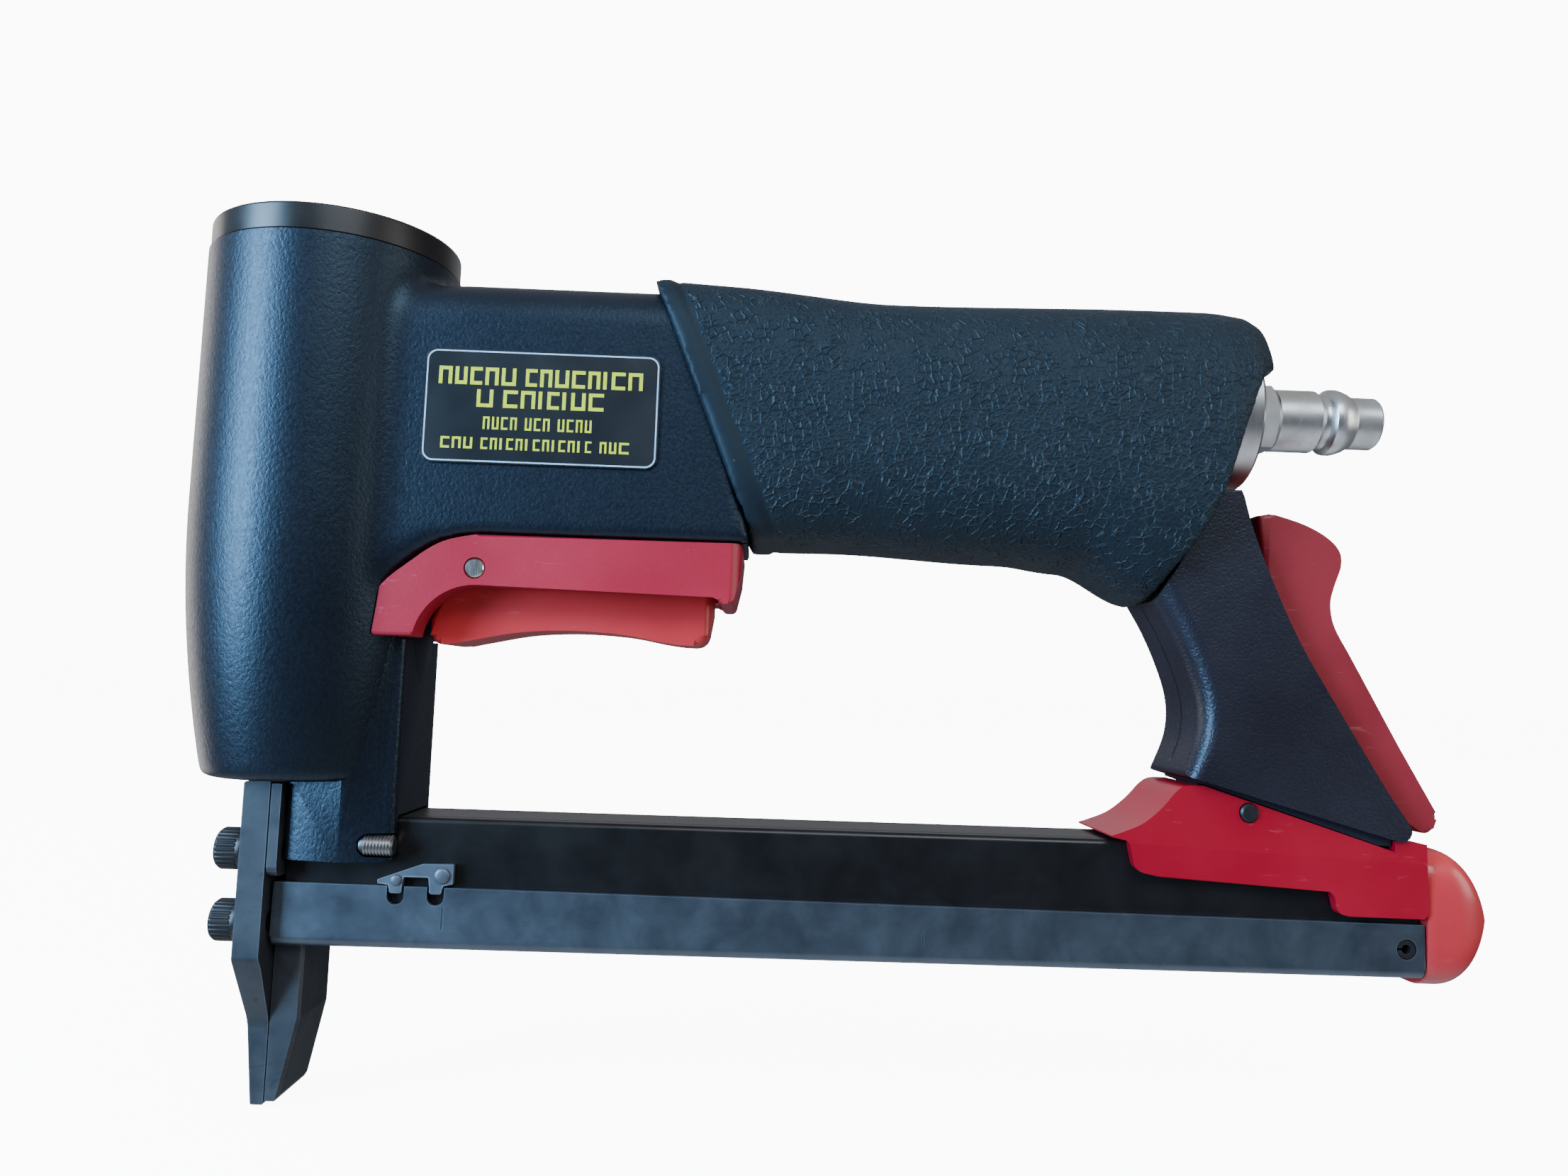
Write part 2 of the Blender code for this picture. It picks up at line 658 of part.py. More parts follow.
def rear_strut():
    body = prism("rear_strut", strut_outline(), -STRUT_HALF_WIDTH, STRUT_HALF_WIDTH)
    face = along_y(STRUT_HALF_WIDTH)

    def on_front(a, b):
        return face(a, b) and max(a.x, b.x) < 161 and max(a.z, b.z) < 93

    round_edges(body, 3.4, 4, on_front)
    room = [(164.6, 116), (168.0, 98), (170.2, 88), (170.0, 80), (170.6, 72.5), (177.5, 64.2),
            (188.5, 55.9), (194, 48), (215, 48), (215, 116)]
    cut(body, prism("lever_room", room, -8.3, 8.3))
    cut(body, rod("latch_bore", (LATCH_X, -10.3, LATCH_Z), (LATCH_X, 10.3, LATCH_Z), LATCH_R + 0.15))
    cut(body, rod("spring_pocket", (161.8, 0, LATCH_SPRING_Z), (169.5, 0, LATCH_SPRING_Z), 2.9))
    tongue = prism("tongue", [(161, 62), (161, 52.2), (174.5, 50.9), (174.5, 59)], -5.0, 5.0)
    join(body, tongue)
    return cut(body, rod("saddle_pin_bore", (SADDLE_PIN_X, -9, SADDLE_PIN_Z),
                         (SADDLE_PIN_X, 9, SADDLE_PIN_Z), 1.75))


def latch_lever():
    outline = [(171.0, 108.2), (173.2, 108.6), (179.0, 106.7), (183.3, 104.7), (185.8, 102.0),
               (186.0, 99.4), (184.3, 94.0), (184.0, 91.0), (184.9, 87.8)]
    outline += [(196.0, 67.6), (202.9, 55.4), (201.8, 52.6), (200.0, 51.9)]
    outline += [(190.0, 57.8), (180.5, 65.6), (174.0, 74.0), (173.4, 81.0), (173.9, 88.0), (172.4, 97.5)]
    body = prism("latch_lever", outline, -LEVER_HALF_WIDTH, LEVER_HALF_WIDTH)
    face = along_y(LEVER_HALF_WIDTH)

    def on_back(a, b):
        return face(a, b) and min(a.x + a.z * 0.55, b.x + b.z * 0.55) > 231

    round_edges(body, 1.4, 3, on_back)
    return cut(body, rod("lever_bore", (LATCH_X, -12, LATCH_Z), (LATCH_X, 12, LATCH_Z), LATCH_R + 0.15))


def latch_pin():
    return rod("latch_pin", (LATCH_X, -10.0, LATCH_Z), (LATCH_X, 10.0, LATCH_Z), LATCH_R)


# ---------------------------------------------------------------- magazine


def magazine_saddle():
    outline = [(143.4, 50.6), (146.5, 51.4), (149.3, 52.6), (152.8, 55.4), (155.4, 58.3), (157.3, 59.4),
               (161.2, 59.5), (198.9, 47.8), (198.9, 37.8), (183.6, 37.8), (183.2, 40.6), (181.0, 42.1),
               (152.0, 43.6), (149.2, 44.3), (147.6, 46.2), (147.0, 49.4), (143.6, 50.0)]
    body = prism("magazine_saddle", outline, -SADDLE_HALF_WIDTH, SADDLE_HALF_WIDTH)
    round_edges(body, 0.9, 2, along_y(SADDLE_HALF_WIDTH))
    half = RAIL_HALF_WIDTH + GAP
    cut(body, box("rail_room", (130, -half, 30), (210, half, RAIL_TOP_Z + GAP)))
    pocket = [(160.6, 70), (160.6, 51.6), (174.9, 50.4), (174.9, 70)]
    cut(body, prism("tongue_room", pocket, -5.3, 5.3))
    return cut(body, rod("pin_bore", (SADDLE_PIN_X, -15, SADDLE_PIN_Z), (SADDLE_PIN_X, 15, SADDLE_PIN_Z),
                         1.75))


def saddle_pin():
    pin = rod("saddle_pin", (SADDLE_PIN_X, -10.6, SADDLE_PIN_Z), (SADDLE_PIN_X, 10.6, SADDLE_PIN_Z), 1.55)
    return soften(pin, 0.2)


def magazine_rail():
    """Fixed upper channel, an inverted U that the staples hang in."""
    half = RAIL_HALF_WIDTH
    section = [(-half, RAIL_FOOT_Z), (-half, RAIL_TOP_Z), (half, RAIL_TOP_Z), (half, RAIL_FOOT_Z)]
    section += [(RAIL_INNER, RAIL_FOOT_Z), (RAIL_INNER, RAIL_CEILING_Z), (-RAIL_INNER, RAIL_CEILING_Z),
                (-RAIL_INNER, RAIL_FOOT_Z)]
    rail = prism("magazine_rail", section, RAIL_FRONT_X, RAIL_END_X, along="X")
    return round_edges(rail, 0.8, 2, lambda a, b: a.z > RAIL_TOP_Z - 0.1 and b.z > RAIL_TOP_Z - 0.1
                       and abs(a.y - b.y) < 0.1 and abs(a.x - b.x) > 5)


def magazine_slide():
    """Moving lower channel, a U that closes the magazine from below."""
    side = [(SLIDE_FRONT_X, SLIDE_FLOOR_Z), (SLIDE_END_X, SLIDE_FLOOR_Z), (SLIDE_END_X, 36.6),
            (SLIDE_FRONT_X, 38.1)]
    body = prism("magazine_slide", side, -SLIDE_HALF_WIDTH, SLIDE_HALF_WIDTH)
    round_edges(body, 1.3, 3, lambda a, b: a.z < SLIDE_FLOOR_Z + 0.1 and b.z < SLIDE_FLOOR_Z + 0.1
                and abs(a.x - b.x) > 5)
    inner = SLIDE_HALF_WIDTH - SLIDE_WALL
    cut(body, box("channel", (-5, -inner, SLIDE_FLOOR_Z + SLIDE_FLOOR), (210, inner, 45)))
    cut(body, box("driver_notch", (-5, -5.4, 20), (1.2, 5.4, 30)))
    for x in (20.45, 27.3):
        cut(body, box("clip_notch", (x - 1.45, -12, 34.8), (x + 1.45, 12, 42)))
    return cut(body, rod("roll_pin_bore", (ROLL_PIN_X, -12, ROLL_PIN_Z), (ROLL_PIN_X, 12, ROLL_PIN_Z), 1.75,
                         steps=20))


def slide_core():
    """Inner rail that the staples straddle, slotted along its top for the pusher."""
    half = CORE_HALF_WIDTH
    floor = SLIDE_FLOOR_Z + SLIDE_FLOOR + 0.2
    inside = half - CORE_WALL
    section = [(-half, floor), (-half, CORE_TOP_Z), (half, CORE_TOP_Z), (half, floor), (inside, floor),
               (inside, CORE_TOP_Z - CORE_WALL), (-inside, CORE_TOP_Z - CORE_WALL), (-inside, floor)]
    body = prism("slide_core", section, 1.6, CORE_END_X, along="X")
    return cut(body, box("pusher_slot", (4.0, -0.95, 40), (CORE_END_X - 4, 0.95, 50)))


def slide_end_block():
    body = box("slide_end_block", (CORE_END_X + GAP, -4.7, 28.7), (SLIDE_END_X, 4.7, 44.5))
    cut(body, rod("rod_hole", (180, 0, ROD_Z), (192, 0, ROD_Z), ROD_R + 0.2, steps=16))
    return cut(body, rod("block_pin_bore", (ROLL_PIN_X, -12, ROLL_PIN_Z), (ROLL_PIN_X, 12, ROLL_PIN_Z), 1.75,
                         steps=20))


def slide_roll_pin():
    return rod("slide_roll_pin", (ROLL_PIN_X, -9.3, ROLL_PIN_Z), (ROLL_PIN_X, 9.3, ROLL_PIN_Z), 1.55,
               steps=20)


def guide_rod():
    return rod("guide_rod", (5.0, 0, ROD_Z), (191.6, 0, ROD_Z), ROD_R, steps=12)


def pusher():
    """Staple pusher: a saddle over the core, joined to a block that runs on the guide rod."""
    body = box("pusher", (5, -4.8, 45.8), (15, 4.8, 47.4))
    for side in (-1, 1):
        cheek = sorted((side * 4.1, side * 4.8))
        join(body, box("cheek", (5, cheek[0], 39.5), (15, cheek[1], 46.5)))
    join(body, box("web", (6, -0.6, 42), (14, 0.6, 46.5)), box("block", (5, -2.5, 34.2), (15, 2.5, 42.5)))
    return cut(body, rod("pusher_bore", (0, 0, ROD_Z), (20, 0, ROD_Z), ROD_R + 0.25, steps=16))


def end_bumper():
    """D-shaped buffer whose round end is shallower than it is tall."""
    squash = BUMPER_REACH / BUMPER_R
    round_end = arc((BUMPER_X, BUMPER_Z), BUMPER_R, -90, 90, 14)
    outline = [(BUMPER_X + (x - BUMPER_X) * squash, z) for x, z in round_end]
    outline += [(199.8, BUMPER_Z + BUMPER_R), (199.8, BUMPER_Z - BUMPER_R)]
    body = prism("end_bumper", outline, -BUMPER_HALF_WIDTH, BUMPER_HALF_WIDTH)
    face = along_y(BUMPER_HALF_WIDTH)
    return round_edges(body, 2.2, 3, lambda a, b: face(a, b) and max(a.x, b.x) > 200)


def clip(side):
    name = "feed_clip_left" if side < 0 else "feed_clip_right"
    outline = [(17.4, 38.9), (24.9, 41.8), (30.2, 41.9), (30.3, 38.45), (28.45, 38.3), (28.45, 36.7),
               (26.2, 36.7), (26.2, 39.7), (21.6, 39.7), (21.6, 36.7), (19.35, 36.7), (19.35, 38.6)]
    inner = side * (SLIDE_HALF_WIDTH - SLIDE_WALL + 0.05)
    outer = side * (SLIDE_HALF_WIDTH + 0.2)
    body = prism(name, outline, min(inner, outer), max(inner, outer))
    for x, z, radius in CLIP_RIVETS:
        cut(body, rod("rivet_hole", (x, side * 5, z), (x, side * 15, z), radius * 0.55, steps=12))
    return body


CLIP_RIVETS = ((20.5, 39.0, 0.95), (28.35, 39.9, 1.35))


def clip_rivet(name, side, x, z, radius):
    seat = side * (SLIDE_HALF_WIDTH + 0.25)
    head = rod(name, (x, seat, z), (x, seat + side * 0.45, z), radius, radius * 0.85, steps=16)
    shank = rod("shank", (x, side * (SLIDE_HALF_WIDTH - 0.8), z), (x, seat + side * 0.2, z),
                radius * 0.5, steps=12)
    return join(head, shank)


# ---------------------------------------------------------------- nose


def nose_plate():
    side = [(PLATE_FRONT_X, PLATE_TOP_Z), (PLATE_BACK_X, PLATE_TOP_Z), (PLATE_BACK_X, 26),
            (TIP_BACK_X, 24), (TIP_BACK_X, 0), (TIP_FRONT_X, 0), (PLATE_FRONT_X, PLATE_CREASE_Z)]
    front = [(-PLATE_HALF_WIDTH, 60), (-PLATE_HALF_WIDTH, PLATE_CREASE_Z), (-TIP_HALF_WIDTH, 14),
             (-TIP_HALF_WIDTH, -5), (TIP_HALF_WIDTH, -5), (TIP_HALF_WIDTH, 14),
             (PLATE_HALF_WIDTH, PLATE_CREASE_Z), (PLATE_HALF_WIDTH, 60)]
    body = prism("nose_plate", side, -20, 20)
    combine(body, "INTERSECT", [prism("plate_front", front, -20, 20, along="X")])
    for z in NOSE_SCREW_Z:
        for y in (-NOSE_SCREW_Y, NOSE_SCREW_Y):
            cut(body, rod("screw_hole", (-10, y, z), (5, y, z), 2.1, steps=20))
    return body


def nose_spacer(side):
    """Side wall of the driver's slot, between the front plate and the leg."""
    name = "nose_spacer_left" if side < 0 else "nose_spacer_right"
    inner = side * 5.3
    outer = side * 11.9
    body = box(name, (PLATE_BACK_X + 0.2, min(inner, outer), 39.2), (0.9, max(inner, outer), 54.9))
    round_edges(body, 1.6, 3, lambda a, b: abs(a.y - outer) < 0.1 and abs(b.y - outer) < 0.1
                and max(a.z, b.z) < 40)
    y = side * NOSE_SCREW_Y
    return cut(body, rod("spacer_hole", (-3, y, NOSE_SCREW_Z[0]), (3, y, NOSE_SCREW_Z[0]), 2.1, steps=20))


def nose_rear_guide():
    """Back half of the long nose, with the staple's slot in its front face."""
    side = [(-0.5, 26.9), (4.5, 26.9), (4.5, 14.5), (1.9, 1.6), (1.2, 0.6), (-0.5, 0.6)]
    body = prism("nose_rear_guide", side, -TIP_HALF_WIDTH, TIP_HALF_WIDTH)
    round_edges(body, 1.8, 1, lambda a, b: abs(abs(a.y) - TIP_HALF_WIDTH) < 0.01 and a.y * b.y > 0
                and min(a.x, b.x) > 1.5)
    return cut(body, box("staple_slot", (-3, -5.0, -3), (0.9, 5.0, 30)))


def nose_screw(number, y, z):
    """Socket head screw; the upper pair runs into the spacers, the lower pair ends in the plate."""
    head = PLATE_FRONT_X - GAP
    end = 0.6 if z == NOSE_SCREW_Z[0] else PLATE_BACK_X - 0.3
    body = rod(f"nose_screw_{number}", (head - 4.6, y, z), (head, y, z), 3.6)
    round_edges(body, 0.5, 2, lambda a, b: max(a.x, b.x) < head - 4.5)
    join(body, rod("screw_shank", (head - 1, y, z), (end, y, z), 1.9, steps=20))
    return cut(body, rod("socket", (head - 6, y, z), (head - 2.2, y, z), 1.75, steps=6))


def leg_set_screw(side):
    name = "leg_set_screw_left" if side < 0 else "leg_set_screw_right"
    body = rod(name, (14.2, side * 10.45, 44.9), (20.2, side * 10.45, 44.9), 1.8, steps=16)
    return cut(body, rod("set_socket", (18.6, side * 10.45, 44.9), (22, side * 10.45, 44.9), 0.9, steps=6))


def label_plate():
    """Adhesive label on the neck's left side, left blank."""
    corner = 2.0
    low = (22.0, 110.8)
    high = (62.6, 130.8)
    outline = arc((high[0] - corner, high[1] - corner), corner, 0, 90, 4)
    outline += arc((low[0] + corner, high[1] - corner), corner, 90, 180, 4)
    outline += arc((low[0] + corner, low[1] + corner), corner, 180, 270, 4)
    outline += arc((high[0] - corner, low[1] + corner), corner, 270, 360, 4)
    outer = -NECK_HALF_WIDTH - 0.1
    return prism("label_plate", outline, outer - 0.3, outer)


# ---------------------------------------------------------------- assembly


def joint_frame(name, x, z):
    """An empty on a joint's axis."""
    empty = bpy.data.objects.new(name, None)
    empty.location = Vector((x, 0, z)) * MM
    empty.parent = axis_frame
    parts.objects.link(empty)
    return empty


def attach(obj, slot, frame=None):
    """Hangs a part on its frame and gives it a material."""
    obj.data.materials.clear()
    obj.data.materials.append(materials[slot])
    smooth(obj)
    if frame is None:
        obj.parent = axis_frame
    else:
        obj.parent = frame
        obj.location = obj.location - frame.location


def build_fixed():
    attach(housing(), "housing_paint")
    attach(top_cap(), "cap_plastic")
    attach(ring("cap_seal", (0, 0, 146.7), 18.15, 0.85), "seal_rubber")
    attach(cylinder_sleeve(), "aluminium")
    attach(piston_stop(), "seal_rubber")
    attach(grip_sleeve(), "grip_rubber")
    attach(handle_end_cap(), "aluminium")
    attach(air_nipple(), "nickel")
    attach(nipple_seal(), "seal_rubber")
    attach(trigger_guard(), "guard_red")
    attach(trigger_pin(), "bright_steel")
    attach(valve_bushing(), "bright_steel")
    attach(rear_strut(), "strut_plastic")
    attach(latch_pin(), "bright_steel")
    attach(magazine_saddle(), "saddle_red")
    attach(saddle_pin(), "screw_steel")
    attach(magazine_rail(), "rail_steel")
    attach(nose_plate(), "nose_steel")
    attach(nose_rear_guide(), "nose_steel")
    attach(label_plate(), "label_film")
    for side in (-1, 1):
        attach(nose_spacer(side), "nose_steel")
        attach(leg_set_screw(side), "bright_steel")
    number = 0
    for z in NOSE_SCREW_Z:
        for y in (-NOSE_SCREW_Y, NOSE_SCREW_Y):
            number += 1
            attach(nose_screw(number, y, z), "screw_steel")


def build_piston():
    frame = joint_frame("piston_axis", 0, PISTON_Z)
    attach(piston(), "aluminium", frame)
    attach(ring("piston_seal", (0, 0, PISTON_SEAL_Z), 12.85, 0.9), "seal_rubber", frame)
    attach(driver_blade(), "bright_steel", frame)


def build_trigger():
    attach(trigger(), "trigger_red", joint_frame("trigger_axis", PIVOT_X, PIVOT_Z))
    frame = joint_frame("valve_axis", VALVE_X, 94.3)
    attach(valve_stem(), "bright_steel", frame)
    coil = spring("valve_spring", (VALVE_X, 0, 105.6), (VALVE_X, 0, 111.9), 2.8, 0.35, 4)
    attach(coil, "spring_steel", frame)


def build_latch():
    frame = joint_frame("latch_axis", LATCH_X, LATCH_Z)
    attach(latch_lever(), "lever_red", frame)
    coil = spring("latch_spring", (162.3, 0, LATCH_SPRING_Z), (171.8, 0, LATCH_SPRING_Z), 2.1, 0.35, 5)
    attach(coil, "spring_steel", frame)


def build_slide():
    frame = joint_frame("slide_axis", 0, SLIDE_FLOOR_Z)
    attach(magazine_slide(), "slide_steel", frame)
    attach(slide_core(), "bright_steel", frame)
    attach(slide_end_block(), "cap_plastic", frame)
    attach(slide_roll_pin(), "screw_steel", frame)
    attach(guide_rod(), "bright_steel", frame)
    attach(end_bumper(), "bumper_orange", frame)
    number = 0
    for side in (-1, 1):
        attach(clip(side), "clip_steel", frame)
        for x, z, radius in CLIP_RIVETS:
            number += 1
            attach(clip_rivet(f"clip_rivet_{number}", side, x, z, radius), "clip_steel", frame)
    feed = joint_frame("pusher_axis", 0, ROD_Z)
    attach(pusher(), "bright_steel", feed)
    coil = spring("pusher_spring", (15.6, 0, ROD_Z), (182.5, 0, ROD_Z), 1.85, 0.3, 16)
    attach(coil, "spring_steel", feed)


clear_scene()
parts = make_collection(OBJECT)
cutters = make_collection("cutters")
materials = {name: make_material(name) for name in MATERIALS}
axis_frame = bpy.data.objects.new("driver_axis", None)
axis_frame.location = (AXIS_X * MM, 0.0, 0.0)
parts.objects.link(axis_frame)
build_fixed()
build_piston()
build_trigger()
build_latch()
build_slide()
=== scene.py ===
"""Looks of the pneumatic nail gun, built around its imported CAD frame.

Shapes are laid out in tool millimetres, as in the CAD: X from the driver's axis towards the
air inlet, Z up from the nose tip, and -Y the side with the label.
"""

import json
import math

import bmesh
import bpy
from mathutils import Matrix, Vector

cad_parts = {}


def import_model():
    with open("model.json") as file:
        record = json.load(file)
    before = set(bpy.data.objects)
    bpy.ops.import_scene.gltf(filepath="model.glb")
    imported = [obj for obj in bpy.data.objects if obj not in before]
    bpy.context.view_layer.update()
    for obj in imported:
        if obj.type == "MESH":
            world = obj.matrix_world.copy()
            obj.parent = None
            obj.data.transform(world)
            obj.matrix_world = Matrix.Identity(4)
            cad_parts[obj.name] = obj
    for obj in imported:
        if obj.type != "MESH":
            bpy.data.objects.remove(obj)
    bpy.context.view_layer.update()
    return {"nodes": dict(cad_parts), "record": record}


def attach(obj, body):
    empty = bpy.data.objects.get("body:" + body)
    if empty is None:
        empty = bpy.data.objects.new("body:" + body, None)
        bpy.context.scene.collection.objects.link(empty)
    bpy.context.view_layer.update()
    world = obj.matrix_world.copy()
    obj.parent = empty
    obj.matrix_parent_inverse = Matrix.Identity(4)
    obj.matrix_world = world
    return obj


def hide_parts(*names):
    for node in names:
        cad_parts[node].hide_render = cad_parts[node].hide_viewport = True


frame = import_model()

MM = 0.001
AXIS_X = 1.8
GAP = 0.3
FINE = 128
TO_WORLD = Matrix.Scale(MM, 4) @ Matrix.Translation((AXIS_X, 0.0, 0.0))

# Barrel, neck, handle tube and leg
BARREL_R = 22.1
BARREL_FOOT_R = 16.9
BARREL_FOOT_Z = 55.5
BARREL_TAPER_Z = 104.0
BARREL_TOP_Z = 148.7
CAP_R = 21.8
CAP_TOP_Z = 153.7
NECK_HALF_WIDTH = 15.5
NECK_TOP_Z = 144.2
NECK_FLOOR_Z = 99.0
HANDLE_HALF_WIDTH = 14.0
HANDLE_END_X = 165.2
INLET_Z = 127.7
INLET = (0, 0, INLET_Z)
LEG_TOP_Z = 80.3
LEG_FOOT_Z = 42.0
SCREW_Z = 44.9
SCREW_Y = 10.45
HOUSING_VOXEL = 0.78
GRIP_VOXEL = 0.72
SIDES = ((-1, "left"), (1, "right"))

# Trigger group
PIVOT = (32.1, 92.8)
GUARD_HALF_WIDTH = 14.8
TRIGGER_HALF_WIDTH = 7.8
VALVE_X = 52.0

# Strut and lever
STRUT_HALF_WIDTH = 11.0
LEVER_HALF_WIDTH = 7.9
LATCH = (178.5, 77.0)
SADDLE_PIN = (168.2, 55.1)

# Magazine
RAIL_HALF_WIDTH = 8.07
RAIL_TOP_Z = 49.5
SLIDE_HALF_WIDTH = 9.4
SLIDE_FLOOR_Z = 27.2
SLIDE_FRONT_X = -0.4
SLIDE_END_X = 199.5
SADDLE_HALF_WIDTH = 10.5
ROLL_PIN = (196.2, 32.35)
BUMPER_X = 203.0
BUMPER_Z = 37.4
BUMPER_REACH = 8.37
BUMPER_HALF_WIDTH = 9.9
BUMPER_HALF_HEIGHT = 12.0

# Nose
PLATE_FRONT_X = -5.5
PLATE_BACK_X = -1.0
PLATE_CREASE_Z = 25.3
TIP_HALF_WIDTH = 6.5
UPPER_SCREW_Z = 43.3
LOWER_SCREW_Z = 31.2
NOSE_SCREWS = [(y, z) for z in (UPPER_SCREW_Z, LOWER_SCREW_Z) for y in (-8.0, 8.0)]


# ---- outlines


def arc(centre, radius, start, end, steps=12):
    """Points on an arc, in degrees."""
    made = []
    for i in range(steps + 1):
        turn = math.radians(start + (end - start) * i / steps)
        made.append((centre[0] + radius * math.cos(turn), centre[1] + radius * math.sin(turn)))
    return made


def flow(points, steps=5):
    """A smooth line through the points."""
    ends = [points[0], *points, points[-1]]
    made = []
    for a, b, c, d in zip(ends, ends[1:], ends[2:], ends[3:]):
        for i in range(steps):
            t = i / steps
            made.append(tuple(
                0.5 * (2 * q + (r - p) * t + (2 * p - 5 * q + 4 * r - s) * t * t
                       + (3 * q - p - 3 * r + s) * t ** 3)
                for p, q, r, s in zip(a, b, c, d)
            ))
    return made + [points[-1]]


def fillet(points, steps=6):
    """A closed outline whose (across, up, radius) corners are rounded."""
    made = []
    for i, (x, y, *radius) in enumerate(points):
        here = Vector((x, y))
        if not radius:
            made.append((x, y))
            continue
        before = Vector(points[i - 1][:2]) - here
        after = Vector(points[(i + 1) % len(points)][:2]) - here
        half = before.angle(after) / 2
        reach = min(radius[0] / math.tan(half), 0.49 * before.length, 0.49 * after.length)
        before.normalize()
        after.normalize()
        centre = here + (before + after).normalized() * reach / math.cos(half)
        first = here + before * reach - centre
        last = here + after * reach - centre
        start = math.atan2(first.y, first.x)
        sweep = (math.atan2(last.y, last.x) - start + math.pi) % (2 * math.pi) - math.pi
        for k in range(steps + 1):
            turn = start + sweep * k / steps
            made.append((centre.x + first.length * math.cos(turn),
                         centre.y + first.length * math.sin(turn)))
    return made


def mix(table, x):
    """Value at x of a smooth line through the (x, value) pairs."""
    for (x0, v0), (x1, v1) in zip(table, table[1:]):
        if x <= x1:
            t = max(0.0, (x - x0) / (x1 - x0))
            return v0 + (v1 - v0) * t * t * (3 - 2 * t)
    return table[-1][1]


# ---- solids


def placed(name, data):
    obj = bpy.data.objects.new(name, data)
    bpy.context.scene.collection.objects.link(obj)
    return obj


def built(name, bm):
    """The object that a finished bmesh makes."""
    mesh = bpy.data.meshes.new(name)
    bm.to_mesh(mesh)
    bm.free()
    return placed(name, mesh)


def solid(name, bm):
    """An object from a bmesh that was built in tool millimetres."""
    bmesh.ops.remove_doubles(bm, verts=bm.verts, dist=0.002)
    bm.normal_update()
    bmesh.ops.recalc_face_normals(bm, faces=bm.faces)
    if bm.calc_volume(signed=True) < 0:
        bmesh.ops.reverse_faces(bm, faces=bm.faces)
    bm.transform(TO_WORLD)
    return built(name, bm)


def spot(along, a, b, depth):
    """The point at (a, b) of an outline and at depth along the named axis."""
    return {"X": (depth, a, b), "Y": (a, depth, b), "Z": (a, b, depth)}[along]


def skin(bm, rings):
    """Faces from each ring of points to the next; points that coincide are taken once."""
    for low, high in zip(rings, rings[1:]):
        for i, _ in enumerate(low):
            j = (i + 1) % len(low)
            corners = list(dict.fromkeys((low[i], low[j], high[j], high[i])))
            if len(corners) > 2:
                bm.faces.new(corners)


def prism(name, outline, low, high, along="Y", edge=0.0, steps=3, test=None):
    """A flat outline drawn out between low and high, with its two rims rounded."""
    bm = bmesh.new()
    sides = [[bm.verts.new(spot(along, a, b, depth)) for a, b in outline]
             for depth in (low, high)]
    caps = [bm.faces.new(side) for side in sides]
    skin(bm, sides)
    if edge:
        rims = {e for cap in caps for e in cap.edges}
        if test:
            rims = {e for e in rims if test(e.verts[0].co) and test(e.verts[1].co)}
        bmesh.ops.bevel(bm, geom=list(rims), offset=edge, offset_type="OFFSET", segments=steps,
                        profile=0.5, affect="EDGES", clamp_overlap=False)
    return solid(name, bm)


def slab(name, outline, half, **edges):
    """A prism that reaches half its width to each side of the tool's middle."""
    return prism(name, outline, -half, half, **edges)


def box(name, low, high):
    outline = [(low[0], low[2]), (high[0], low[2]), (high[0], high[2]), (low[0], high[2])]
    return prism(name, outline, low[1], high[1])


def lofted(name, sections):
    """A skin over closed sections that have the same number of points."""
    bm = bmesh.new()
    rings = [[bm.verts.new(point) for point in section] for section in sections]
    skin(bm, rings)
    bm.faces.new(rings[0])
    bm.faces.new(rings[-1])
    return solid(name, bm)


def squared_ring(x, middle, half_width, half_height, power, points):
    """A section across the tool at x: an ellipse whose corners fill out as power falls below 1."""
    made = []
    for i in range(points):
        turn = math.tau * i / points
        across = math.cos(turn)
        up = math.sin(turn)
        made.append((x, half_width * math.copysign(abs(across) ** power, across),
                     middle + half_height * math.copysign(abs(up) ** power, up)))
    return made


def turned(name, profile, centre=(0, 0, 0), along="Z", steps=FINE, closed=False, knurl=None):
    """A solid of revolution from (radius, height) points. A knurl is (from, to, tooth depth)."""
    bm = bmesh.new()
    rings = []
    for radius, height in profile:
        if radius == 0:
            rings.append([bm.verts.new(shifted(centre, along, 0, 0, height))] * steps)
            continue
        toothed = knurl and knurl[0] <= height <= knurl[1]
        ring = []
        for i in range(steps):
            turn = math.tau * i / steps
            reach = radius - knurl[2] if toothed and i % 4 < 2 else radius
            ring.append(bm.verts.new(shifted(
                centre, along, reach * math.cos(turn), reach * math.sin(turn), height)))
        rings.append(ring)
    skin(bm, rings + rings[:1] if closed else rings)
    if not closed:
        for end, (radius, _) in ((rings[0], profile[0]), (rings[-1], profile[-1])):
            if radius:
                bm.faces.new(end)
    return solid(name, bm)


def shifted(centre, along, a, b, depth):
    x, y, z = spot(along, a, b, depth)
    return (centre[0] + x, centre[1] + y, centre[2] + z)


def pin(name, spot_xz, half, radius, chamfer=0.25):
    """A round pin across the tool."""
    profile = [(radius - chamfer, -half), (radius, -half + chamfer), (radius, half - chamfer),
               (radius - chamfer, half)]
    return turned(name, profile, (spot_xz[0], 0, spot_xz[1]), "Y", steps=40)


def baked(obj):
    """Applies the modifiers."""
    view = obj.evaluated_get(bpy.context.evaluated_depsgraph_get())
    mesh = bpy.data.meshes.new_from_object(view)
    obj.modifiers.clear()
    old = obj.data
    obj.data = mesh
    bpy.data.meshes.remove(old)
    return obj


def boolean(obj, operation, tools):
    for tool in tools:
        step = obj.modifiers.new("Step", "BOOLEAN")
        step.operation = operation
        step.solver = "EXACT"
        step.object = tool
    baked(obj)
    for tool in tools:
        bpy.data.objects.remove(tool)
    return obj


def cut(obj, *tools):
    return boolean(obj, "DIFFERENCE", tools)


def join(obj, *tools):
    return boolean(obj, "UNION", tools)


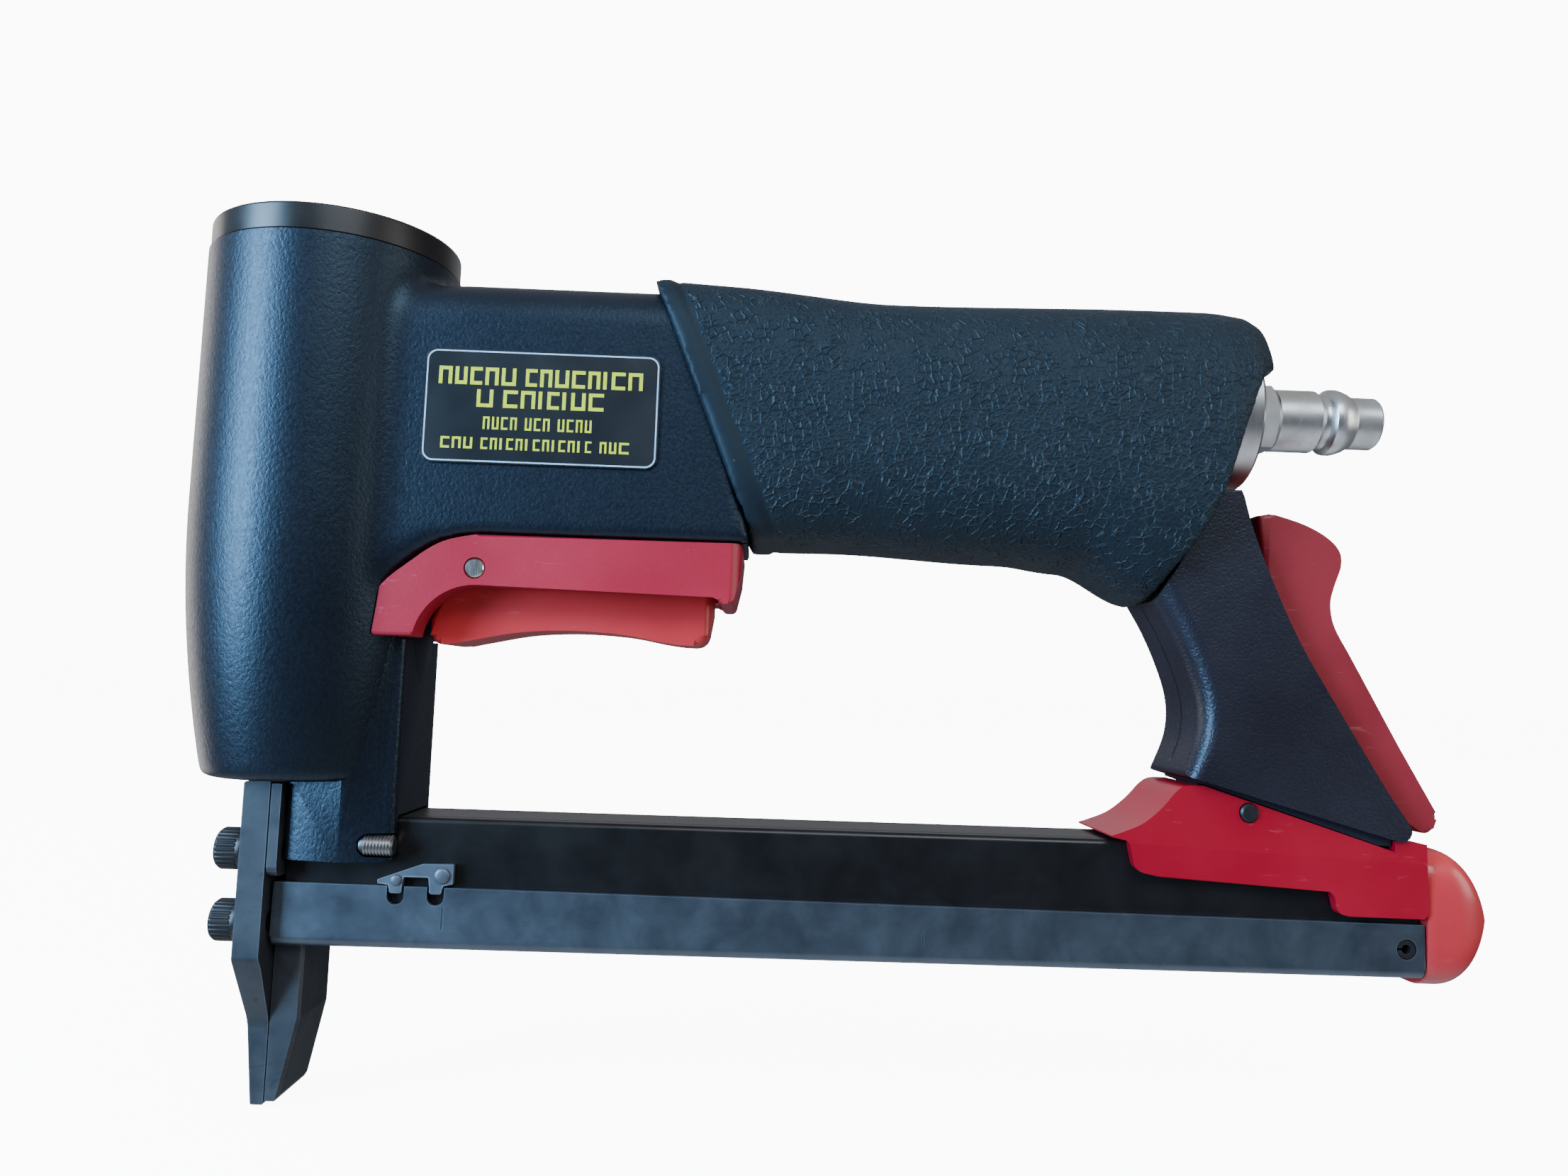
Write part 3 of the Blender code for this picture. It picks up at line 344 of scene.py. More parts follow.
def common(obj, *tools):
    return boolean(obj, "INTERSECT", tools)


def smoothed(obj, voxel, passes):
    """One skin over the solid, with its edges worn round by the smoothing passes."""
    remesh = obj.modifiers.new("Skin", "REMESH")
    remesh.mode = "VOXEL"
    remesh.voxel_size = voxel * MM
    smooth = obj.modifiers.new("Worn", "SMOOTH")
    smooth.factor = 0.5
    smooth.iterations = passes
    return baked(obj)


def ease(obj, weight, passes):
    """Smooths the places where weight(co in tool millimetres) is above 0."""
    group = obj.vertex_groups.new(name="ease")
    for vertex in obj.data.vertices:
        value = weight(vertex.co.x / MM - AXIS_X, vertex.co.y / MM, vertex.co.z / MM)
        if value > 0:
            group.add([vertex.index], min(1.0, value), "REPLACE")
    smooth = obj.modifiers.new("Ease", "SMOOTH")
    smooth.factor = 0.5
    smooth.iterations = passes
    smooth.vertex_group = group.name
    return baked(obj)


def show(obj, slot, body, *nodes, angle=35, flat=True):
    """Finishes a piece: its material, shading, body, and the CAD nodes it stands for."""
    obj.data.materials.clear()
    obj.data.materials.append(paints[slot])
    obj.data.shade_smooth()
    obj.data.set_sharp_from_angle(angle=math.radians(angle))
    if flat:
        weighted = obj.modifiers.new("Flats", "WEIGHTED_NORMAL")
        weighted.keep_sharp = True
    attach(obj, body)
    if nodes:
        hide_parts(*nodes)
    return obj


# ---- materials


def put(tree, kind, output, inputs, **settings):
    """The named output of a new shader node, with its settings made and its inputs filled."""
    node = tree.nodes.new("ShaderNode" + kind)
    for key, value in settings.items():
        setattr(node, key, value)
    for key, value in inputs.items():
        if isinstance(value, bpy.types.NodeSocket):
            tree.links.new(value, node.inputs[key])
        else:
            node.inputs[key].default_value = value
    return node.outputs[output]


def blend(tree, fac, a, b):
    """A colour from a to b, each of them a socket or (red, green, blue)."""
    a, b = (c if isinstance(c, bpy.types.NodeSocket) else (*c, 1.0) for c in (a, b))
    return put(tree, "Mix", 2, {0: fac, 6: a, 7: b}, data_type="RGBA")


def times(colour, factor):
    return tuple(min(1.0, c * factor) for c in colour)


class Paint:
    """One material: a Principled shader with patterns laid out in real millimetres."""

    def __init__(self, name, metallic=0.0, **fixed):
        self.material = bpy.data.materials.new("look_" + name)
        self.material.use_nodes = True
        self.tree = self.material.node_tree
        self.shader = self.tree.nodes["Principled BSDF"]
        self.shader.inputs["Metallic"].default_value = metallic
        for socket, value in fixed.items():
            self.shader.inputs[socket.replace("_", " ")].default_value = value
        self.place = self.put("TexCoord", "Object", {})
        self.normal = None

    def put(self, kind, output, inputs, **settings):
        return put(self.tree, kind, output, inputs, **settings)

    def stretched(self, stretch, turn=(0, 0, 0)):
        return self.put("Mapping", "Vector", {
            "Vector": self.place, "Scale": stretch, "Rotation": turn})

    def noise(self, size, detail=2.0, rough=0.5, distortion=0.0, place=None, output="Fac"):
        return self.put("TexNoise", output, {
            "Vector": place or self.place, "Scale": 1000.0 / size, "Detail": detail,
            "Roughness": rough, "Distortion": distortion})

    def cells(self, size, place=None, feature="DISTANCE_TO_EDGE"):
        return self.put("TexVoronoi", "Distance", {
            "Vector": place or self.place, "Scale": 1000.0 / size}, feature=feature)

    def warped(self, size, amount):
        """The place, pushed about by a noise of that size, in millimetres."""
        noise = self.noise(size, 1.0, output="Color")
        centred = self.vector("SUBTRACT", {0: noise, 1: (0.5, 0.5, 0.5)})
        push = self.vector("SCALE", {0: centred, 3: amount * MM})
        return self.vector("ADD", {0: self.place, 1: push})

    def vector(self, operation, inputs, output=0):
        return self.put("VectorMath", output, inputs, operation=operation)

    def span(self, value, low, high, start, end):
        return self.put("MapRange", "Result", {
            "Value": value, "From Min": low, "From Max": high, "To Min": start, "To Max": end})

    def level(self, noise, start, end):
        """From start to end over the range where most of a noise lies."""
        return self.span(noise, 0.3, 0.7, start, end)

    def math(self, operation, a, b):
        return self.put("Math", 0, {0: a, 1: b}, operation=operation)

    def colour(self, fac, a, b):
        return blend(self.tree, fac, a, b)

    def drift(self, noise, a, b, low=0.3, high=0.7):
        """A colour that goes from a to b as the noise goes from low to high."""
        return self.colour(self.span(noise, low, high, 0, 1), a, b)

    def bump(self, height, depth, strength=1.0):
        inputs = {"Height": height, "Distance": depth * MM, "Strength": strength}
        if self.normal:
            inputs["Normal"] = self.normal
        self.normal = self.put("Bump", "Normal", inputs)

    def edges(self, radius, strength):
        """Strength at sharp edges, where a rounded normal leaves the true one; 0 on flats."""
        rounded = self.put("Bevel", "Normal", {"Radius": radius * MM}, samples=4)
        true = self.put("NewGeometry", "Normal", {})
        alike = self.vector("DOT_PRODUCT", {0: rounded, 1: true}, "Value")
        return self.span(alike, 0.97, 0.80, 0.0, strength)

    def done(self, colour, roughness):
        self.tree.links.new(colour, self.shader.inputs["Base Color"])
        self.tree.links.new(roughness, self.shader.inputs["Roughness"])
        if self.normal:
            self.tree.links.new(self.normal, self.shader.inputs["Normal"])
        return self.material


def powder_coat():
    """Black powder coat with a fine orange-peel grain and a cold sheen."""
    p = Paint("housing", Specular_Tint=(0.50, 0.76, 1.0, 1.0))
    grain = p.noise(0.55, 2.0, 0.55, 0.4, p.stretched((1.0, 1.0, 0.75), (0.0, 0.5, 0.0)))
    cloud = p.noise(14.0)
    p.bump(grain, 0.12, 0.6)
    p.bump(p.noise(2.6, 1.0), 0.12, 0.10)
    base = p.drift(cloud, (0.0038, 0.0042, 0.0082), (0.0054, 0.0058, 0.0100))
    return p.done(base, p.level(grain, 0.33, 0.44))


def cap_plastic():
    """Semi-gloss black plastic with faint turning lines and handling marks."""
    p = Paint("cap", Specular_IOR_Level=0.4)
    marks = p.noise(9.0, 4.0, 0.6)
    lines = p.noise(0.5, place=p.stretched((0.05, 0.05, 1.0)))
    p.bump(lines, 0.02, 0.3)
    base = p.drift(marks, (0.010, 0.0092, 0.0098), (0.016, 0.0145, 0.0148), 0.35)
    return p.done(base, p.level(marks, 0.29, 0.35))


def grip_rubber():
    """Matt rubber with a moulded leather grain, dust in places, and a smooth front rim."""
    p = Paint("grip", Specular_IOR_Level=0.35, Specular_Tint=(0.70, 0.88, 1.0, 1.0))
    spread = p.warped(2.4, 1.3)
    wrinkle = p.span(p.cells(1.6, spread), 0.0, 0.13, 1.0, 0.0)
    fine = p.span(p.cells(1.0, p.warped(1.5, 0.8)), 0.0, 0.25, 1.0, 0.0)
    broken = p.span(p.noise(3.0, 3.0), 0.40, 0.58, 0.05, 1.0)
    x, z = (p.put("SeparateXYZ", axis, {"Vector": p.place}) for axis in "XZ")
    slant = p.math("ADD", x, p.math("MULTIPLY", z, RIM_SLANT))
    inside = p.span(slant, RIM_BACK * MM, (RIM_BACK + 1.2) * MM, 0.0, 1.0)
    grain = p.math("ADD", p.math("MULTIPLY", wrinkle, broken), p.math("MULTIPLY", fine, 0.25))
    grain = p.math("MULTIPLY", grain, inside)
    p.bump(grain, 0.30, 0.8)
    p.bump(p.noise(0.4), 0.03, 0.35)
    cloud = p.noise(18.0)
    base = p.drift(cloud, (0.0036, 0.0078, 0.0130), (0.0050, 0.0100, 0.0165))
    ridged = p.colour(p.math("MULTIPLY", grain, 0.6), base, (0.014, 0.024, 0.034))
    dust = p.span(p.cells(6.5, None, "F1"), 0.0, 0.045, 0.5, 0.0)
    dusty = p.colour(dust, ridged, (0.12, 0.14, 0.15))
    return p.done(dusty, p.span(grain, 0.0, 1.0, 0.56, 0.44))


def strut_plastic():
    """Black moulded plastic with a fine leather texture."""
    p = Paint("strut", Specular_Tint=(0.62, 0.80, 1.0, 1.0))
    grain = p.span(p.cells(0.8, p.warped(1.6, 0.8)), 0.0, 0.35, 1.0, 0.0)
    cloud = p.noise(16.0)
    p.bump(grain, 0.06, 0.55)
    base = p.drift(cloud, (0.0095, 0.0068, 0.0110), (0.0130, 0.0098, 0.0152))
    return p.done(base, p.level(cloud, 0.36, 0.44))


def moulded(name, dark, light, low, high, grain, depth=0.04, coat=0.0):
    """Red plastic: slight shade drift, fine mould grain and scuffs that catch the light."""
    p = Paint(name, Coat_Weight=coat, Coat_Roughness=0.2, Subsurface_Weight=0.04,
              Subsurface_Radius=(0.004, 0.0006, 0.0004), Subsurface_Scale=0.5)
    cloud = p.noise(22.0, 3.0)
    skin = p.noise(grain)
    scuff = p.span(p.noise(1.2, 3.0, 0.6, 0.6, p.stretched((0.16, 1.0, 1.0), (0, 0.3, 0))),
                   0.66, 0.75, 0.0, 1.0)
    p.bump(skin, depth, 0.5)
    base = p.drift(cloud, dark, light)
    base = p.colour(p.math("MULTIPLY", scuff, 0.14), base, (0.75, 0.30, 0.28))
    rough = p.math("ADD", p.level(cloud, low, high), p.math("MULTIPLY", scuff, 0.1))
    return p.done(base, rough)


def dark_steel(name, dark, light, low, high, metallic, smudge, grain=0.5):
    """Blackened or grey steel with smudges, fine pits and rubbed edges."""
    p = Paint(name, metallic)
    cloud = p.noise(9.0, 4.0, 0.6, 0.4)
    pits = p.noise(grain, 3.0, 0.6)
    spread = p.noise(4.0, 4.0, 0.65, 0.8, p.stretched((0.45, 1.0, 1.0)))
    stains = p.span(spread, 0.58, 0.72, 0.0, smudge)
    p.bump(pits, 0.02, 0.35)
    base = p.drift(cloud, dark, light, 0.32, 0.68)
    base = p.colour(stains, base, times(dark, 0.45))
    base = p.colour(p.edges(0.35, 0.7), base, times(light, 2.2))
    rough = p.math("ADD", p.level(cloud, low, high), p.math("MULTIPLY", stains, 0.12))
    return p.done(base, rough)


def bright_metal(name, colour, low, high, stretch=(1.0, 0.06, 0.06)):
    """Bare metal with turning lines and slight tarnish."""
    p = Paint(name, 1.0)
    lines = p.noise(0.12, place=p.stretched(stretch))
    cloud = p.noise(5.0, 3.0)
    p.bump(lines, 0.012, 0.4)
    base = p.drift(cloud, colour, times(colour, 0.72), 0.35)
    rough = p.math("ADD", p.level(cloud, low, high), p.level(lines, -0.04, 0.05))
    return p.done(base, rough)


def seal_rubber():
    p = Paint("seal", Specular_IOR_Level=0.35)
    skin = p.noise(0.4)
    p.bump(skin, 0.03, 0.4)
    base = p.colour(p.noise(6.0), (0.010, 0.010, 0.011), (0.018, 0.018, 0.018))
    return p.done(base, p.level(skin, 0.6, 0.75))


def label_film():
    p = Paint("label", Coat_Weight=0.3, Coat_Roughness=0.25)
    cloud = p.noise(12.0, 3.0)
    p.bump(p.noise(3.0), 0.015, 0.3)
    base = p.colour(cloud, (0.006, 0.0085, 0.012), (0.009, 0.012, 0.016))
    return p.done(base, p.level(cloud, 0.26, 0.36))


def ink(name, colour):
    """Printed ink that lies a little unevenly."""
    p = Paint(name)
    patch = p.noise(0.6, 3.0, 0.6)
    base = p.drift(patch, times(colour, 0.82), colour)
    return p.done(base, p.level(patch, 0.38, 0.5))


# The smooth rim lies in front of the plane X + RIM_SLANT * Z = RIM_BACK, in world millimetres
RIM_SLANT = 20.0 / 48.0
RIM_PLANE = 60.0 + AXIS_X + RIM_SLANT * 146.5
RIM_BACK = RIM_PLANE + 4.3

paints = {
    "housing_paint": powder_coat(),
    "cap_plastic": cap_plastic(),
    "grip_rubber": grip_rubber(),
    "strut_plastic": strut_plastic(),
    "guard_red": moulded(
        "guard", (0.35, 0.010, 0.030), (0.41, 0.013, 0.036), 0.36, 0.46, 0.6),
    # The trigger's red is set lighter than the guard's to make up for the shade the guard casts on
    # it: painted light.
    "trigger_red": moulded(
        "trigger", (0.56, 0.030, 0.034), (0.64, 0.038, 0.042), 0.30, 0.40, 0.9, 0.03, 0.1),
    "saddle_red": moulded(
        "saddle", (0.29, 0.0012, 0.014), (0.35, 0.002, 0.019), 0.28, 0.36, 1.2, 0.02, 0.1),
    "lever_red": moulded(
        "lever", (0.20, 0.009, 0.018), (0.25, 0.012, 0.022), 0.38, 0.48, 0.8),
    "bumper_orange": moulded(
        "bumper", (0.46, 0.028, 0.036), (0.53, 0.036, 0.044), 0.22, 0.34, 2.4, 0.03, 0.2),
    "rail_steel": dark_steel(
        "rail", (0.0045, 0.0042, 0.0048), (0.0075, 0.0070, 0.0078), 0.28, 0.36, 0.0, 0.25),
    "slide_steel": dark_steel(
        "slide", (0.085, 0.105, 0.135), (0.12, 0.145, 0.18), 0.34, 0.46, 0.85, 0.25),
    "nose_steel": dark_steel(
        "nose", (0.055, 0.062, 0.075), (0.085, 0.092, 0.105), 0.42, 0.55, 0.8, 0.5, 0.6),
    "clip_steel": dark_steel(
        "clip", (0.085, 0.105, 0.14), (0.14, 0.17, 0.21), 0.40, 0.52, 0.7, 0.3, 0.35),
    "screw_steel": dark_steel(
        "screw", (0.018, 0.018, 0.020), (0.035, 0.035, 0.038), 0.34, 0.44, 0.6, 0.3, 0.4),
    "bright_steel": bright_metal("bright", (0.62, 0.60, 0.56), 0.22, 0.34),
    "nickel": bright_metal("nickel", (0.72, 0.73, 0.74), 0.30, 0.42, (1.0, 0.05, 0.05)),
    "aluminium": bright_metal("aluminium", (0.66, 0.66, 0.67), 0.28, 0.38),
    "spring_steel": bright_metal("spring", (0.42, 0.42, 0.42), 0.28, 0.40),
    "seal_rubber": seal_rubber(),
    "label_film": label_film(),
    "label_line": ink("line", (0.42, 0.66, 0.86)),
    "label_ink": ink("ink", (0.72, 0.82, 0.012)),
}


def paint_frame():
    """Gives every CAD node its slot's material, and the nose blocks a rounded edge."""
    for part in frame["record"]["subparts"]:
        node = frame["nodes"][part["node"]]
        node.data.materials.clear()
        node.data.materials.append(paints[part["material_slot"]])
        if part["node"].startswith(("nose_spacer", "nose_rear")):
            rounding = node.modifiers.new("Edges", "BEVEL")
            rounding.width = 0.45 * MM
            rounding.segments = 3
            rounding.harden_normals = True


# ---- housing


def barrel_radius(z):
    fall = max(0.0, (BARREL_TAPER_Z - z) / (BARREL_TAPER_Z - BARREL_FOOT_Z))
    return BARREL_R - (BARREL_R - BARREL_FOOT_R) * fall * fall


def barrel(name, grow=0.0):
    profile = [(0.0, BARREL_TOP_Z + 2), (BARREL_R + grow, BARREL_TOP_Z + 2)]
    rows = 16
    for i in range(rows):
        z = BARREL_TAPER_Z + (BARREL_FOOT_Z + 1.0 - BARREL_TAPER_Z) * i / (rows - 1)
        profile.append((barrel_radius(z) + grow, z))
    profile += [(BARREL_FOOT_R - 0.3 + grow, BARREL_FOOT_Z + 0.25),
                (BARREL_FOOT_R - 1.0 + grow, BARREL_FOOT_Z), (0.0, BARREL_FOOT_Z)]
    return turned(name, profile)


def neck(name, grow=0.0):
    """The web between barrel and handle, whose lower front follows the guard's arc."""
    top = NECK_TOP_Z + grow
    outline = [(4, top), (66 + grow, top), (79.2 + grow, NECK_FLOOR_Z - grow)]
    outline += flow([(32.4, NECK_FLOOR_Z - grow), (26.2, 97.6), (20.9, 94.1), (15.4, 88.8),
                     (12.3, LEG_TOP_Z + 0.1)], 4)
    outline += [(4, LEG_TOP_Z + 0.1)]
    half = NECK_HALF_WIDTH + grow
    return slab(name, outline, half, edge=7.0 + grow, steps=8,
                test=lambda co: co.z > top - 0.1)


def handle_tube(name, grow=0.0, front=60.0, end=HANDLE_END_X):
    top = 142.3 + grow
    floor = 103.0 - grow
    outline = [(front, top), (end, top), (end, 114.0 - grow), (132, floor), (front, floor)]
    half = HANDLE_HALF_WIDTH + grow
    return slab(name, outline, half, edge=9.0 + grow, steps=6)


def leg():
    """The post under the barrel that carries the nose."""
    plan = fillet([(1.4, -10.4, 0.5), (11, -12.1), (19.9, -10.5, 1.2), (19.9, 10.5, 1.2),
                   (11, 12.1), (1.4, 10.4, 0.5)], 3)
    body = prism("leg", plan, LEG_FOOT_Z, LEG_TOP_Z, along="Z")
    foot = [(16.5, 40.0), (17.2, 41.6), (21.0, 43.0), (21.0, 40.0)]
    return cut(body, slab("leg_foot", foot, 15))


def air_space():
    """The hollow that runs from the inlet through the handle to the barrel."""
    outline = [(8, 138.5), (168, 138.5), (168, 117.2), (132, 107), (70, 107), (62, 116), (8, 116)]
    return slab("air_space", outline, 10.5)


def housing():
    """Barrel, neck and handle under one worn skin, then the sharper leg and the holes."""
    body = barrel("housing_casting")
    join(body, neck("neck"), handle_tube("tube"))
    smoothed(body, HOUSING_VOXEL, 5)

    def junction(x, y, z):
        """Where the round barrel runs into the flat neck, on both sides and along its top."""
        if z < 84 or x < 6:
            return 0.0
        across = 1.0 - abs(x - 17.5) / 10.0
        top = min(1.0, max(0.0, (z - 141.0) / 3.0)) * (1.0 - abs(x - 23.5) / 4.0)
        low = min(1.0, (z - 84) / 10)
        side = across * low if abs(y) > 11 and z < 147 else 0.0
        return max(side, 0.7 * top if z < 147.4 else 0.0)

    ease(body, junction, 70)
    # What the guard's upper edge lies against
    seat = flow([(32.4, 98.85), (26.3, 97.4), (21.0, 93.9), (15.6, 88.7), (12.6, 80.6)], 4)
    seat += [(8, 80.6), (8, 104), (78.6, 104), (78.6, 98.85)]
    join(body, leg(), slab("seat", seat, 13))
    above = [(0.0, 156), (30, 156), (30, BARREL_TOP_Z), (0.0, BARREL_TOP_Z)]
    cut(body, turned("above", above, steps=32))
    bore = [(0.0, 160.0), (19.2, 160.0), (19.2, 100.0), (17.3, 100.0), (17.3, 70.0), (13.0, 70.0),
            (13.0, 58.2), (0.0, 58.2)]
    cut(body, turned("bore", bore, steps=64))
    cut(body, air_space(), box("driver_slot", (-1, -5.2, 50), (1, 5.2, 60)))
    cut(body, box("rail_slot", (-1, -8.4, 40), (25, 8.4, 49.8)))
    hole = [(6.3, 95), (6.3, 112.6), (2.5, 112.6), (2.5, 120)]
    cut(body, turned("valve_hole", hole, (VALVE_X, 0, 0), steps=48))
    for side, _ in SIDES:
        hole = [(0.0, 14.0), (1.4, 14.1), (1.95, 14.9), (2.1, 15.4), (2.1, 26), (0.0, 26)]
        cut(body, turned("screw_hole", hole, (0, side * SCREW_Y, SCREW_Z), "X", steps=32))
    return show(body, "housing_paint", "root", "housing", angle=50, flat=False)


def top_cap():
    """A shallow moulded cap: flat face, small round edge and straight side."""
    profile = [(0.0, CAP_TOP_Z), (CAP_R - 0.9, CAP_TOP_Z)]
    profile += arc((CAP_R - 0.55, CAP_TOP_Z - 0.55), 0.55, 90, 0, 6)
    profile += [(CAP_R, 149.05), (CAP_R - 0.15, 148.9), (18.9, 148.9), (18.9, 147.9),
                (17.1, 147.9), (17.1, 145.5), (18.9, 145.5), (18.9, 144.4), (14.0, 144.4),
                (14.0, 150.6), (0.0, 150.6)]
    return show(turned("barrel_cap", profile), "cap_plastic", "root", "top_cap", angle=40)


# ---- grip and inlet

# Heights, half width and squareness of the sleeve, each as (x, value), and its rear edge
GRIP_TOP = [(56, 146.3), (64, 146.6), (104, 145.3), (162, 146.6), (168, 146.1), (171, 144.9),
            (173.3, 142.6), (174.3, 139.6)]
GRIP_FLOOR = [(56, 99.6), (92, 99.6), (126, 98.3), (137, 97.1), (151, 91.2), (160, 90.5),
              (175, 90)]
GRIP_HALF = [(56, 17.4), (100, 16.9), (150, 17.7), (162, 17.6), (168, 16.8), (171, 15.2),
             (173, 12.2), (174.3, 9.0)]
GRIP_SQUARE = [(56, 5.0), (74, 4.4), (104, 3.0), (174.3, 2.7)]
GRIP_REAR = [(150.9, 92), (153.4, 97), (156.3, 101), (159.2, 106), (161.4, 111), (164.5, 120.3),
             (166.6, 126), (168.2, 130), (170.0, 132.8), (172.5, 134.4), (176, 135)]


def grip_section(x):
    top = mix(GRIP_TOP, x)
    floor = mix(GRIP_FLOOR, x)
    return squared_ring(x, (top + floor) / 2, mix(GRIP_HALF, x), (top - floor) / 2,
                        2 / mix(GRIP_SQUARE, x), 96)


def grip_sleeve():
    """The rubber sleeve, with a raised rim and a groove behind it along the slanted front."""
    stations = [*range(56, 166, 2), 167, 168.5, 170, 171, 172, 173, 173.8, 174.3]
    body = lofted("grip_rubber_sleeve", [grip_section(x) for x in stations])
    front = slab("front_cut", [(40, 160), (54.4, 160), (84, 89), (40, 89)], 30)
    rear = flow(GRIP_REAR, 4) + [(180, 135), (180, 84), (146.5, 84)]
    corner = [(56, 150), (62.9, 150), (62.9, 146.9), (61.8, 146.5), (61.1, 145.8), (60.8, 144.6),
              (56, 144.6)]
    cut(body, front, slab("rear_cut", rear, 30), slab("corner_cut", corner, 30))
    smoothed(body, GRIP_VOXEL, 4)
    centre_z = 122.0
    for vertex in body.data.vertices:
        along = (vertex.co.x + RIM_SLANT * vertex.co.z) / MM - RIM_PLANE
        if along < 5.0:
            out = Vector((0.0, vertex.co.y, vertex.co.z - centre_z * MM)).normalized()
            raised = min(1.0, max(0.0, (4.0 - along) / 0.9))
            groove = max(0.0, 1.0 - abs(along - 4.4) / 0.7)
            vertex.co += out * (0.35 * raised - 0.22 * groove) * MM
    cut(body, handle_tube("sleeve_bore", GAP, 50.0, HANDLE_END_X + GAP))
    cut(body, turned("cap_room", [(14.2, 160), (14.2, 170.5)], INLET, "X", steps=64))
    cut(body, neck("neck_room", GAP))
    cut(body, turned("nipple_room", [(7.4, 150), (7.4, 176)], INLET, "X", steps=48))
    return show(body, "grip_rubber", "root", "grip_sleeve", angle=55, flat=False)


def air_inlet():
    """The disc that closes the handle, and the plug with its hexagon and hose groove."""
    cap = [(12.9, 170.2), (13.4, 170.0), (13.8, 169.5), (13.9, 165.5), (9.4, 165.5), (9.4, 159.0),
           (5.3, 159.0), (5.3, 170.2)]
    disc = turned("handle_cap_disc", cap, INLET, "X", closed=True)
    show(disc, "aluminium", "root", "handle_end_cap")
    profile = [(3.2, 196.1), (4.3, 196.2), (4.6, 196.1), (4.88, 195.7), (4.9, 191.3), (5.05, 190.9),
               (5.6, 190.0), (6.0, 189.0), (6.2, 188.2), (6.2, 187.3), (6.08, 186.8), (5.7, 186.4),
               (5.1, 186.1), (5.0, 185.8), (5.0, 185.2), (5.15, 184.8), (5.6, 184.5), (5.85, 184.1),
               (5.85, 176.4), (5.3, 175.9), (5.0, 175.6), (5.0, 161.0), (3.2, 161.0)]
    nipple = turned("inlet_plug", profile, INLET, "X", closed=True, steps=96)
    corner = 5.85 / math.cos(math.pi / 6)
    hexagon = prism("plug_hexagon", arc((0, INLET_Z), corner, 0, 300, 5), 171.3, 175.9, along="X")
    chamfer = [(0.0, 171.2), (6.1, 171.2), (6.8, 171.75), (6.8, 175.45), (6.1, 176.0), (0.0, 176.0)]
    common(hexagon, turned("chamfer", chamfer, INLET, "X", steps=96))
    cut(hexagon, turned("hexagon_bore", [(4.6, 170), (4.6, 177)], INLET, "X", steps=48))
    join(nipple, hexagon)
    show(nipple, "nickel", "root", "air_nipple", angle=28)


# ---- trigger group


def round_plan(body, rear, half, radius, steps):
    """Rounds the two rear corners, as seen from above."""
    plan = fillet([(0, -half), (rear, -half, radius), (rear, half, radius), (0, half)], steps)
    common(body, prism("plan", plan, 70, 105, along="Z"))


def trigger_guard():
    """The red bracket around the trigger, with its pin."""
    front = flow([(12.9, 80.7), (15.8, 88.6), (21.2, 93.7), (26.4, 97.2), (32.5, 98.7)], 6)
    outline = fillet([*front, (78.1, 98.7, 0.9), (77.7, 93.0), (76.6, 88.2, 1.0), (74.2, 88.2, 0.9),
                      (73.6, 89.9), *arc((32.6, 79.3), 10.6, 90, 172, 18)], 5)
    body = slab("trigger_bracket", outline, GUARD_HALF_WIDTH, edge=0.7)
    round_plan(body, 78.3, GUARD_HALF_WIDTH + 0.2, 3.6, 10)
    cut(body, barrel("barrel_room", GAP), box("trigger_room", (19, -8.3, 70), (73.4, 8.3, 96.2)))
    cut(body, turned("stem_hole", [(3.0, 94), (3.0, 100)], (VALVE_X, 0, 0), steps=40))
    cut(body, pin("pin_hole", PIVOT, 20, 1.85))
    show(body, "guard_red", "root", "trigger_guard")
    show(pin("trigger_pivot", PIVOT, 14.95, 1.7, 0.3), "bright_steel", "root", "trigger_pin")


def trigger():
    """The red lever, hollowed a little for the finger."""
    belly = flow([(27.5, 79.9), (31, 80.7), (39, 82.3), (47.9, 82.9), (57, 82.5), (64, 81.4),
                  (67.5, 81.0)], 5)
    outline = fillet([(22.9, 84.0), (23.6, 79.6, 1.9), *belly, (71.8, 80.9, 2.4), (72.8, 87.0),
                      (72.8, 92.1, 1.6), (40, 95.1), *arc(PIVOT, 2.9, 75, 170, 10),
                      (25.2, 90.0)], 6)
    half = TRIGGER_HALF_WIDTH
    body = slab("trigger_lever", outline, half, edge=1.25, steps=5)
    round_plan(body, 72.9, half + 0.1, 2.0, 8)
    cut(body, pin("pivot_hole", PIVOT, 20, 1.85))
    show(body, "trigger_red", "trigger", "trigger")


# ---- strut and lever


STRUT_FRONT = [(151.9, 91.9), (154.8, 87.0), (157.4, 81.4), (159.3, 76.0), (159.9, 71.5),
               (159.3, 67.0), (157.0, 61.2)]
STRUT_REAR = [(197.2, 52.4), (192.4, 59.4), (184.2, 72.9), (176.4, 86.4), (169.6, 102.4),
              (166.8, 112.2)]


